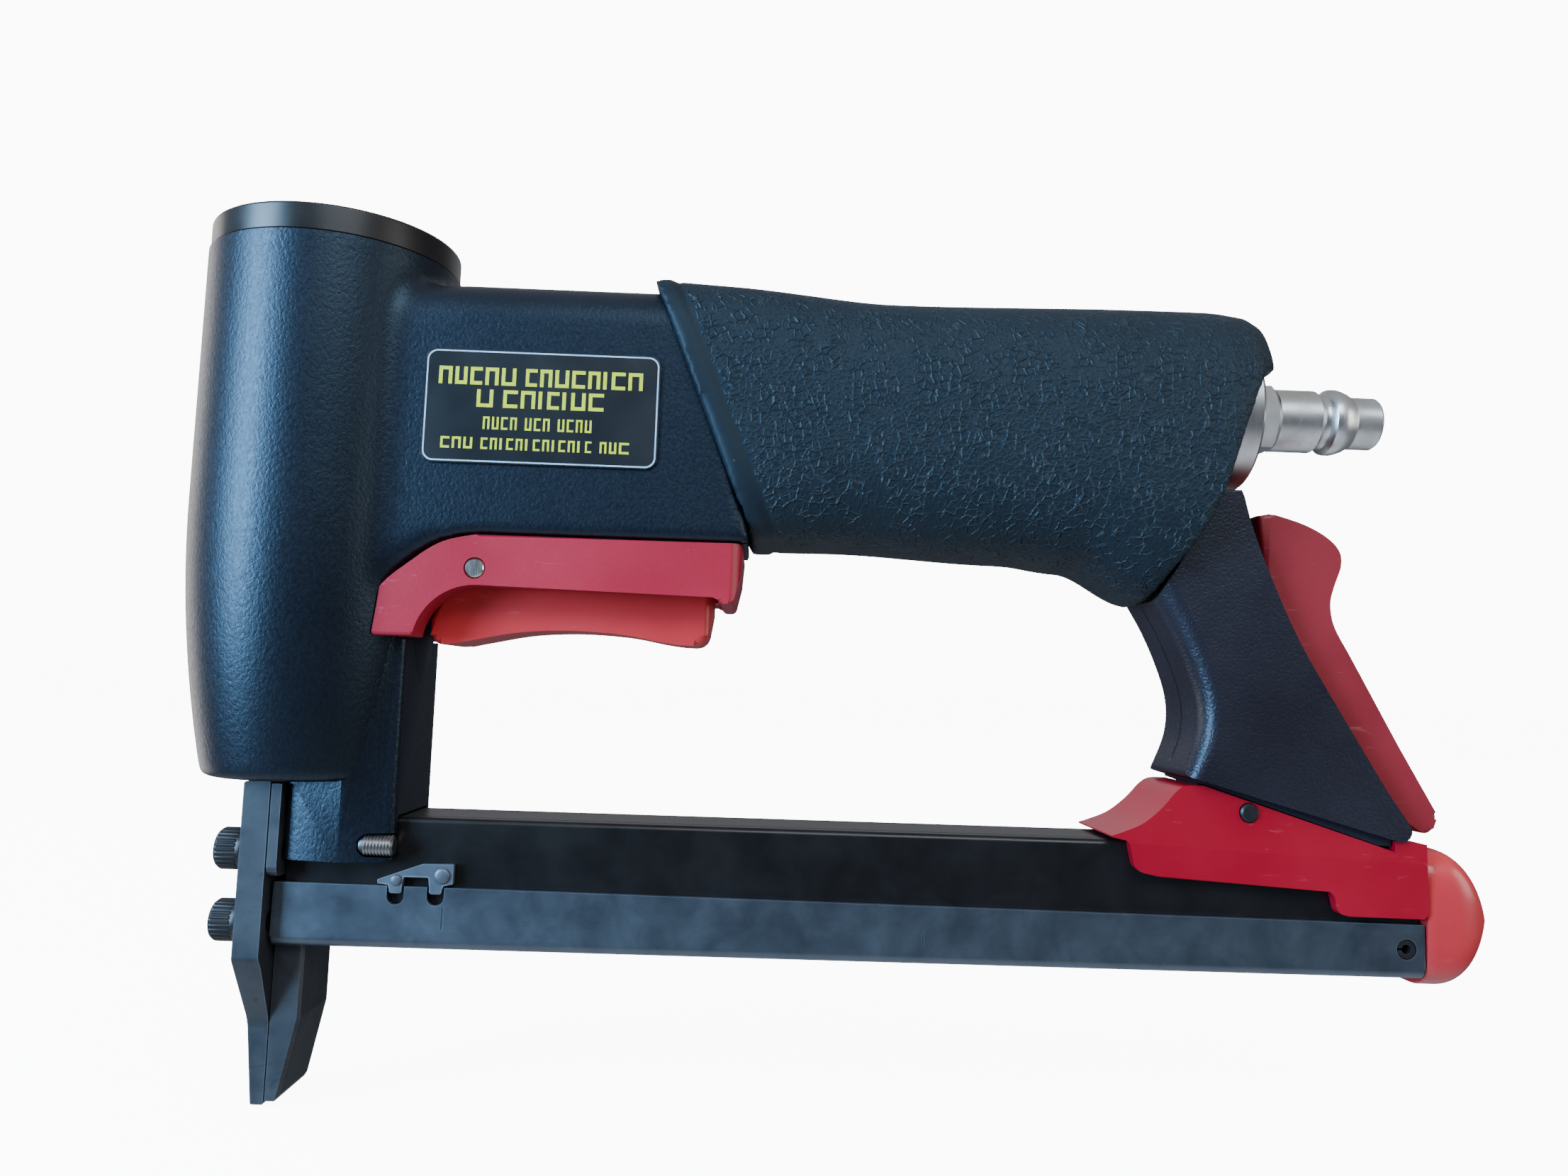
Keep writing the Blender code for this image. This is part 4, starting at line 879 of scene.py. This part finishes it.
def rear_strut():
    """The hollow strut between sleeve and magazine, with the fine seam on its front edge."""
    front = flow(STRUT_FRONT, 5)
    outline = fillet([*front[:-2], (157.1, 61.1, 0.9), (194.9, 50.8, 1.6), (197.3, 52.3, 1.2),
                      *flow(STRUT_REAR[1:], 5), (162.3, 112.2), (161.8, 110.6), (159.7, 105.7),
                      (156.8, 100.6), (153.9, 96.5)], 5)
    half = STRUT_HALF_WIDTH
    body = slab("rear_strut_moulding", outline, half, edge=0.5, steps=3)
    edge = [(146.6, 100.0)] + [(x + 0.02, z) for x, z in front]
    for side, _ in SIDES:
        cut(body, front_round(edge, side * half))
    room = [(164.6, 116), (168.0, 98), (170.2, 88), (170.0, 80), (170.6, 72.5), (177.5, 64.2),
            (188.5, 55.9), (194, 48), (215, 48), (215, 116)]
    cut(body, slab("lever_room", room, 8.3))
    cut(body, pin("latch_bore", LATCH, 10.3, 2.05))
    cut(body, turned("spring_pocket", [(2.9, 161.8), (2.9, 169.5)], (0, 0, 98), "X", steps=32))
    join(body, slab("tongue", [(161, 62), (161, 52.2), (174.5, 50.9), (174.5, 59)], 5))
    skirt = [(160.0, 61.0), (160.5, 59.75), (191.2, 50.15), (193.4, 50.1), (193.4, 52.6)]
    join(body, slab("skirt", skirt, 9.8))
    cut(body, pin("saddle_pin_bore", SADDLE_PIN, 9, 1.75))
    show(body, "strut_plastic", "root", "rear_strut", angle=40)
    seam_front = [(x - 0.10, z) for x, z in front[1:-2]]
    seam_back = [(x + 0.6, z) for x, z in reversed(front[1:-2])]
    seam = prism("strut_parting_line", seam_front + seam_back, -0.14, 0.14, edge=0.05, steps=1)
    show(seam, "strut_plastic", "root")


def front_round(line, face):
    """Cutter that rounds the strut's front edge at one face, wider towards the top."""
    sections = []
    side = math.copysign(1, face)
    for i, (x, z) in enumerate(line):
        before = Vector(line[max(0, i - 1)])
        after = Vector(line[min(len(line) - 1, i + 1)])
        run = (after - before).normalized()
        inward = Vector((-run.y, run.x))
        share = i / (len(line) - 1)
        deep = 4.2 - 1.6 * share
        wide = 4.6 - 1.4 * share
        turns = [math.radians(90 * k / 8) for k in range(9)]
        steps = [(deep * (1 - math.sin(turn)), -wide * (1 - math.cos(turn))) for turn in turns]
        steps += [(-2, -wide), (-2, 2), (deep, 2)]
        sections.append([(x + inward.x * step, face + side * out, z + inward.y * step)
                         for step, out in steps])
    return lofted("front_round", sections)


def latch_lever():
    """The red lever in the strut's hollow."""
    back = flow([(173.2, 108.6), (179.0, 106.9), (183.3, 104.7), (185.7, 102.2), (186.0, 99.4),
                 (184.7, 95.6), (184.0, 92.4), (184.7, 88.4), (187.4, 83.4)], 5)
    outline = fillet([(171.0, 108.2), *back, (196.0, 67.6), (203.0, 55.4, 1.6), (201.6, 51.6, 1.4),
                      (190.0, 57.8), (180.5, 65.6), (174.0, 74.0), (173.4, 81.0), (173.9, 88.0),
                      (172.4, 97.5)], 5)
    body = slab("latch_handle", outline, LEVER_HALF_WIDTH, edge=0.9, steps=4)
    cut(body, pin("lever_bore", LATCH, 12, 2.05))
    show(body, "lever_red", "latch_lever", "latch_lever")


# ---- magazine


def magazine_saddle():
    """The red moulding over the rail; its sides lean in above a sloping line."""
    crest = flow([(145.0, 50.8), (149.3, 52.6), (152.8, 55.4), (155.4, 58.3), (157.3, 59.4),
                  (160.4, 59.5)], 5)
    outline = fillet([(143.2, 50.3, 0.3), *crest, (199.5, 47.4, 0.9), (199.5, 37.8, 0.9),
                      (185.6, 37.8), (183.6, 38.4, 1.4), (182.8, 42.0, 0.8), (152.0, 43.6),
                      (148.0, 44.6, 2.4), (147.0, 49.6, 0.6)], 6)
    half = SADDLE_HALF_WIDTH
    body = slab("saddle_moulding", outline, half, edge=0.2, steps=2)
    there = Matrix.Translation((0.17, 0, 0.048))
    back = Matrix.Translation((-0.17, 0, -0.048))
    for side, _ in SIDES:
        draft = [(side * half, 48.4), (side * (half - 1.0), 62), (side * (half + 2), 62)]
        plane = prism("upper_draft", draft, 135, 210, along="X")
        plane.data.transform(there @ Matrix.Rotation(0.04, 4, "Y") @ back)
        cut(body, plane)
    rear_cover = [(193.8, 44), (199.5, 44), (199.5, 50.6), (193.8, 51.0)]
    join(body, slab("rear_cover", rear_cover, 10.4))
    half = RAIL_HALF_WIDTH + GAP
    cut(body, box("rail_room", (130, -half, 30), (210, half, RAIL_TOP_Z + GAP)))
    pocket = [(160.6, 70), (160.6, 51.6), (174.9, 50.4), (174.9, 70)]
    cut(body, slab("tongue_room", pocket, 5.3))
    cut(body, pin("pin_bore", SADDLE_PIN, 15, 1.75))
    show(body, "saddle_red", "root", "magazine_saddle", angle=30)
    show(pin("saddle_rivet", SADDLE_PIN, 10.62, 1.6, 0.3), "screw_steel", "root", "saddle_pin")


def magazine_rail():
    """The fixed channel, open below, with two grooves along its top."""
    half = RAIL_HALF_WIDTH
    section = fillet([(-half, 34.6), (-half, RAIL_TOP_Z, 1.0), (half, RAIL_TOP_Z, 1.0),
                      (half, 34.6), (5.1, 34.6), (5.1, 48.2), (-5.1, 48.2), (-5.1, 34.6)], 5)
    rail = prism("magazine_channel", section, 1.0, 199.0, along="X", edge=0.2, steps=2)
    for side, _ in SIDES:
        groove = [(side * 5.6, 50), (side * 5.6, 49.15), (side * 6.0, 49.15), (side * 6.0, 50)]
        cut(rail, prism("groove", groove, 24, 142, along="X"))
    show(rail, "rail_steel", "root", "magazine_rail", angle=30)


def magazine_slide():
    """The moving channel of bent sheet, with its notches, marks and roll pin."""
    half = SLIDE_HALF_WIDTH
    section = fillet([(-half, 45), (-half, SLIDE_FLOOR_Z, 1.7), (half, SLIDE_FLOOR_Z, 1.7),
                      (half, 45)], 8)
    body = prism("slide_channel", section, SLIDE_FRONT_X, SLIDE_END_X, along="X", edge=0.3, steps=3)
    above = [(-5, 38.1), (SLIDE_END_X + 1, 36.6), (SLIDE_END_X + 1, 50), (-5, 50)]
    cut(body, slab("above", above, 15))
    inner = half - 1.0
    inner_floor = SLIDE_FLOOR_Z + 1.2
    room = fillet([(-inner, 50), (-inner, inner_floor, 0.7), (inner, inner_floor, 0.7),
                   (inner, 50)], 5)
    cut(body, prism("channel", room, -5, 210, along="X"),
        box("driver", (-5, -5.4, 20), (1.2, 5.4, 30)))
    for x in (20.45, 27.3):
        left, right = x - 1.45, x + 1.45
        notch = fillet([(left, 34.8, 1.4), (right, 34.8, 1.4), (right, 42), (left, 42)], 8)
        cut(body, slab("notch", notch, 12))
    for x, low, high in ((28.5, 30.8, 34.6), (111.4, 30.6, 32.8)):
        cut(body, box("mark", (x, -half - 1, low), (x + 0.3, -half + 0.12, high)))
    cut(body, pin("roll_pin_bore", ROLL_PIN, 12, 1.75))
    show(body, "slide_steel", "slide", "magazine_slide", angle=30)
    roll = turned("slide_roll_pin_tube", [(1.55, -9.25), (1.55, 9.25), (0.85, 9.25), (0.85, -9.25)],
                  (ROLL_PIN[0], 0, ROLL_PIN[1]), "Y", steps=40, closed=True)
    cut(roll, box("roll_gap", (ROLL_PIN[0] - 3, -10, ROLL_PIN[1] - 0.2),
                  (ROLL_PIN[0], 10, ROLL_PIN[1] + 0.2)))
    show(roll, "screw_steel", "slide", "slide_roll_pin")


def end_bumper():
    """A soft dome: sections that follow a quarter round from the flat back to the tip."""
    turns = [-22, -20, -10, *range(0, 90, 4), 89]
    sections = []
    for turn in turns:
        x = BUMPER_X + BUMPER_REACH * math.sin(math.radians(turn))
        share = max(0.0, x - BUMPER_X) / BUMPER_REACH
        high = BUMPER_HALF_HEIGHT * math.cos(math.radians(max(0, turn)))
        wide = BUMPER_HALF_WIDTH * (1 - 0.25 * share ** 2.6)
        if turn == turns[0]:
            high -= 0.2
            wide -= 0.2
        sections.append(squared_ring(x, BUMPER_Z, wide, high, 0.5, 80))
    body = lofted("bumper_moulding", sections)
    show(body, "bumper_orange", "slide", "end_bumper", angle=40, flat=False)


# Each rivet's x, z and radius
CLIP_RIVETS = ((20.5, 39.0, 0.95), (28.35, 39.9, 1.35))


def feed_clips():
    """The hooked plates on both sides of the slide's front, each with two rivets."""
    outline = fillet([(17.3, 38.2, 0.3), (17.3, 39.0, 0.3), (24.9, 41.8, 0.6), (30.3, 41.9, 0.3),
                      (30.3, 38.4, 0.3), (28.45, 38.3, 0.2), (28.45, 36.7, 0.5), (26.2, 36.7, 0.5),
                      (26.2, 39.7, 0.3), (21.6, 39.7, 0.3), (21.6, 36.7, 0.5), (19.35, 36.7, 0.5),
                      (19.35, 38.3, 0.2)], 4)
    number = 0
    for side, word in SIDES:
        faces = sorted((side * (SLIDE_HALF_WIDTH - 0.95), side * (SLIDE_HALF_WIDTH + 0.2)))
        body = prism(f"feed_hook_{word}", outline, *faces, edge=0.16, steps=2)
        show(body, "clip_steel", "slide", f"feed_clip_{word}")
        for x, z, radius in CLIP_RIVETS:
            number += 1
            seat = side * (SLIDE_HALF_WIDTH + 0.22)
            profile = [(0.0, seat + side * 0.46), (radius * 0.6, seat + side * 0.44),
                       (radius * 0.88, seat + side * 0.32), (radius, seat + side * 0.12),
                       (radius, seat), (0.0, seat)]
            rivet = turned(f"hook_rivet_{number}", profile, (x, 0, z), "Y", steps=40)
            show(rivet, "clip_steel", "slide", f"clip_rivet_{number}", angle=50)


# ---- nose


def nose():
    """The front plate, narrower and thinner below its crease, and its screws."""
    side = fillet([(PLATE_FRONT_X, 55.2, 0.5), (PLATE_BACK_X, 55.2), (PLATE_BACK_X, 26, 3),
                   (-0.7, 24, 3), (-0.7, 0, 0.2), (-2.9, 0, 0.3),
                   (PLATE_FRONT_X, PLATE_CREASE_Z, 2.5)], 4)
    plate = slab("front_plate", side, 20)
    half = 12.0
    front = fillet([(-half, 60), (-half, PLATE_CREASE_Z, 2.5), (-TIP_HALF_WIDTH, 14, 6),
                    (-TIP_HALF_WIDTH, -5), (TIP_HALF_WIDTH, -5), (TIP_HALF_WIDTH, 14, 6),
                    (half, PLATE_CREASE_Z, 2.5), (half, 60)], 6)
    common(plate, prism("plate_front", front, -20, 20, along="X"))
    for y, z in NOSE_SCREWS:
        cut(plate, turned("hole", [(2.1, -10), (2.1, 5)], (0, y, z), "X", steps=32))
    show(plate, "nose_steel", "root", "nose_plate", angle=25)
    for number, (y, z) in enumerate(NOSE_SCREWS, 1):
        nose_screw(number, y, z)


def nose_screw(number, y, z):
    """Socket head screw with a knurled head. The upper pair reaches through into the leg."""
    head = PLATE_FRONT_X - GAP
    end = 0.6 if z == UPPER_SCREW_Z else PLATE_BACK_X - 0.3
    profile = [(0.0, head - 4.6), (2.7, head - 4.6), (3.2, head - 4.45), (3.45, head - 4.1),
               (3.6, head - 3.9), (3.6, head - 0.9), (3.45, head - 0.7), (3.55, head - 0.5),
               (3.55, head), (1.9, head), (1.9, end), (0.0, end)]
    body = turned(f"socket_screw_{number}", profile, (0, y, z), "X", steps=120,
                  knurl=(head - 4.0, head - 0.8, 0.16))
    cut(body, prism("socket", arc((y, z), 1.75, 0, 300, 5), head - 6, head - 2.2, along="X"))
    show(body, "screw_steel", "root", f"nose_screw_{number}", angle=30)


def set_screws():
    """Threaded set screws that show behind the leg's corner."""
    for side, word in SIDES:
        profile = [(0.0, 14.3), (1.2, 14.35)]
        for i in range(9):
            start = 15.1 + 0.55 * i
            profile += [(1.6, start), (1.85, start + 0.22), (1.85, start + 0.32),
                        (1.6, start + 0.54)]
        profile += [(1.3, 20.2), (0.0, 20.2)]
        centre = (0, side * SCREW_Y, SCREW_Z)
        body = turned(f"leg_grub_screw_{word}", profile, centre, "X", steps=48)
        show(body, "spring_steel", "root", f"leg_set_screw_{word}", angle=25)


# ---- label


def label():
    """A dark film with a pale border, and rows of bracket-shaped marks where the print was."""
    left, right, low, high = 22.0, 62.6, 110.8, 130.8
    face = -NECK_HALF_WIDTH - 0.1

    def inset(distance, radius):
        """The label's outline, drawn in by the distance."""
        near, far = left + distance, right - distance
        floor_z, top = low + distance, high - distance
        corners = [(far, top), (near, top), (near, floor_z), (far, floor_z)]
        return fillet([(x, z, radius) for x, z in corners], 8)

    film = prism("label_sheet", inset(0.0, 2.0), face - 0.3, face, edge=0.08, steps=2)
    show(film, "label_film", "root", "label_plate")
    border = prism("label_border", inset(0.25, 1.8), face - 0.34, face - 0.2)
    cut(border, prism("border_room", inset(0.5, 1.6), face - 1, face + 1))
    show(border, "label_line", "root")
    # Each row's start, end, middle height and mark height, then the mark widths of each group
    rows = [
        (24.4, 59.6, 126.1, 3.1,
         (2.2, 2.0, 2.0, 2.2, 2.4), (1.9, 2.0, 2.3, 2.2, 2.0, 0.9, 2.3, 2.4)),
        (31.1, 53.0, 122.2, 3.1,
         (2.6,), (2.3, 2.3, 0.9, 1.9, 0.9, 2.3, 2.4)),
        (32.4, 51.1, 117.9, 2.2,
         (1.3, 1.3, 1.3, 1.3), (1.3, 1.3, 1.3), (1.3, 1.3, 1.3, 1.3)),
        (25.3, 57.7, 114.3, 2.0,
         (1.7, 1.7, 1.7), (1.3, 1.3, 0.8, 1.3, 1.3, 1.0, 1.3, 1.3, 0.8, 1.3, 1.3, 1.0, 1.2),
         (1.3, 1.4, 1.9)),
    ]
    bars = []
    count = 0
    gap = 0.5
    space = 1.6
    for start, end, z, tall, *groups in rows:
        total = sum(sum(group) + gap * (len(group) - 1) for group in groups)
        scale = (end - start) / (total + space * (len(groups) - 1))
        x = start
        for group in groups:
            for wide in group:
                count += 1
                outline = mark(x, x + wide * scale, z - tall / 2, z + tall / 2, tall * 0.2,
                               count % 3)
                bars.append(prism("mark", outline, face - 0.34, face - 0.22))
                x += (wide + gap) * scale
            x += (space - gap) * scale
    show(merged("label_blocks", bars), "label_ink", "root")


def mark(left, right, low, high, stroke, kind):
    """A bar, or three bars joined like a bracket that opens right, down or up."""
    if right - left < 0.45 * (high - low):
        return [(left, low), (left + stroke, low), (left + stroke, high), (left, high)]
    stroke = min(stroke, 0.3 * (right - left))
    inner = left + stroke
    outer = right - stroke
    if kind == 0:
        return [(left, low), (right, low), (right, low + stroke), (inner, low + stroke),
                (inner, high - stroke), (right, high - stroke), (right, high), (left, high)]
    if kind == 2:
        low, high, stroke = high, low, -stroke
    return [(left, low), (inner, low), (inner, high - stroke), (outer, high - stroke),
            (outer, low), (right, low), (right, high), (left, high)]


def merged(name, objects):
    """One object from several that don't touch."""
    bm = bmesh.new()
    for obj in objects:
        bm.from_mesh(obj.data)
        bpy.data.objects.remove(obj)
    return built(name, bm)


# ---- stage


def camera():
    """The photo's camera: close, wide, and turned slightly down."""
    lens = bpy.data.cameras.new("camera")
    lens.lens = 26.0
    lens.sensor_width = 36.0
    lens.clip_start = 0.01
    right = Vector((0.99917, -0.02219, 0.03416))
    up = Vector((-0.03596, -0.08666, 0.99558))
    back = right.cross(up)
    axes = Matrix((right, up, back)).transposed().to_4x4()
    obj = placed("camera", lens)
    obj.matrix_world = Matrix.Translation((0.0834, -0.2092, 0.0742)) @ axes
    bpy.context.scene.camera = obj


def area_light(name, place, size, energy, colour):
    """A rectangular light that faces the middle of the tool."""
    data = bpy.data.lights.new(name, "AREA")
    data.shape = "RECTANGLE"
    data.size, data.size_y = size
    data.energy = energy
    data.color = colour
    obj = placed(name, data)
    obj.location = place
    middle = Vector((0.09, 0.0, 0.08))
    obj.rotation_euler = (middle - Vector(place)).to_track_quat("-Z", "Y").to_euler()


def world():
    """White to the camera; to the tool a soft ceiling, dim walls and a bright table below."""
    made = bpy.data.worlds.new("studio")
    bpy.context.scene.world = made
    made.use_nodes = True
    tree = made.node_tree
    direction = put(tree, "TexCoord", "Generated", {})
    height = put(tree, "SeparateXYZ", "Z", {0: direction})

    def rise(start, end):
        """From 0 to 1 between two heights of the direction looked in."""
        inputs = {"Value": height, "From Min": start, "From Max": end}
        return put(tree, "MapRange", "Result", inputs, interpolation_type="SMOOTHSTEP")

    ceiling = blend(tree, rise(0.25, 0.75), (0.09, 0.10, 0.12), (0.42, 0.42, 0.42))
    lit = blend(tree, rise(-0.35, -0.85), ceiling, (0.85, 0.92, 1.0))
    seen = put(tree, "LightPath", "Is Camera Ray", {})
    white = (11.0, 11.0, 11.0)
    tree.links.new(blend(tree, seen, lit, white), tree.nodes["Background"].inputs["Color"])


def floor():
    """A wide glowing table that neither lights the tool nor shows in it."""
    bm = bmesh.new()
    bmesh.ops.create_grid(bm, x_segments=1, y_segments=1, size=60.0)
    obj = built("floor", bm)
    obj.location = (0.1, 0.0, -0.0006)
    p = Paint("floor", Emission_Color=(1.0, 1.0, 1.0, 1.0), Emission_Strength=9.8)
    base = p.colour(p.noise(400.0), (0.88, 0.88, 0.88), (0.91, 0.91, 0.91))
    obj.data.materials.append(p.done(base, p.level(p.noise(150.0), 0.8, 0.9)))
    obj.visible_glossy = False
    obj.visible_diffuse = False


def stage():
    camera()
    world()
    floor()
    area_light("key", (-0.62, -0.50, 0.26), (0.34, 0.60), 22.0, (0.40, 0.68, 1.0))
    area_light("left", (-0.75, 0.50, 0.12), (0.5, 0.8), 3.6, (1.0, 0.93, 0.88))
    area_light("front", (0.30, -0.75, 0.65), (0.6, 0.35), 4.5, (0.82, 0.92, 1.0))
    area_light("right", (0.95, -0.35, 0.25), (0.35, 0.5), 2.5, (1.0, 0.96, 0.92))
    area_light("back", (0.1, 0.9, 0.5), (1.2, 0.6), 0.8, (1.0, 1.0, 1.0))
    sun = bpy.data.lights.new("overhead", "SUN")
    sun.energy = 2.6
    sun.angle = math.radians(60)
    overhead = placed("overhead", sun)
    overhead.rotation_euler = (math.radians(12), math.radians(-10), 0)
    overhead.visible_glossy = False


paint_frame()
housing()
top_cap()
grip_sleeve()
air_inlet()
trigger_guard()
trigger()
rear_strut()
latch_lever()
magazine_saddle()
magazine_rail()
magazine_slide()
end_bumper()
feed_clips()
nose()
set_screws()
label()
stage()
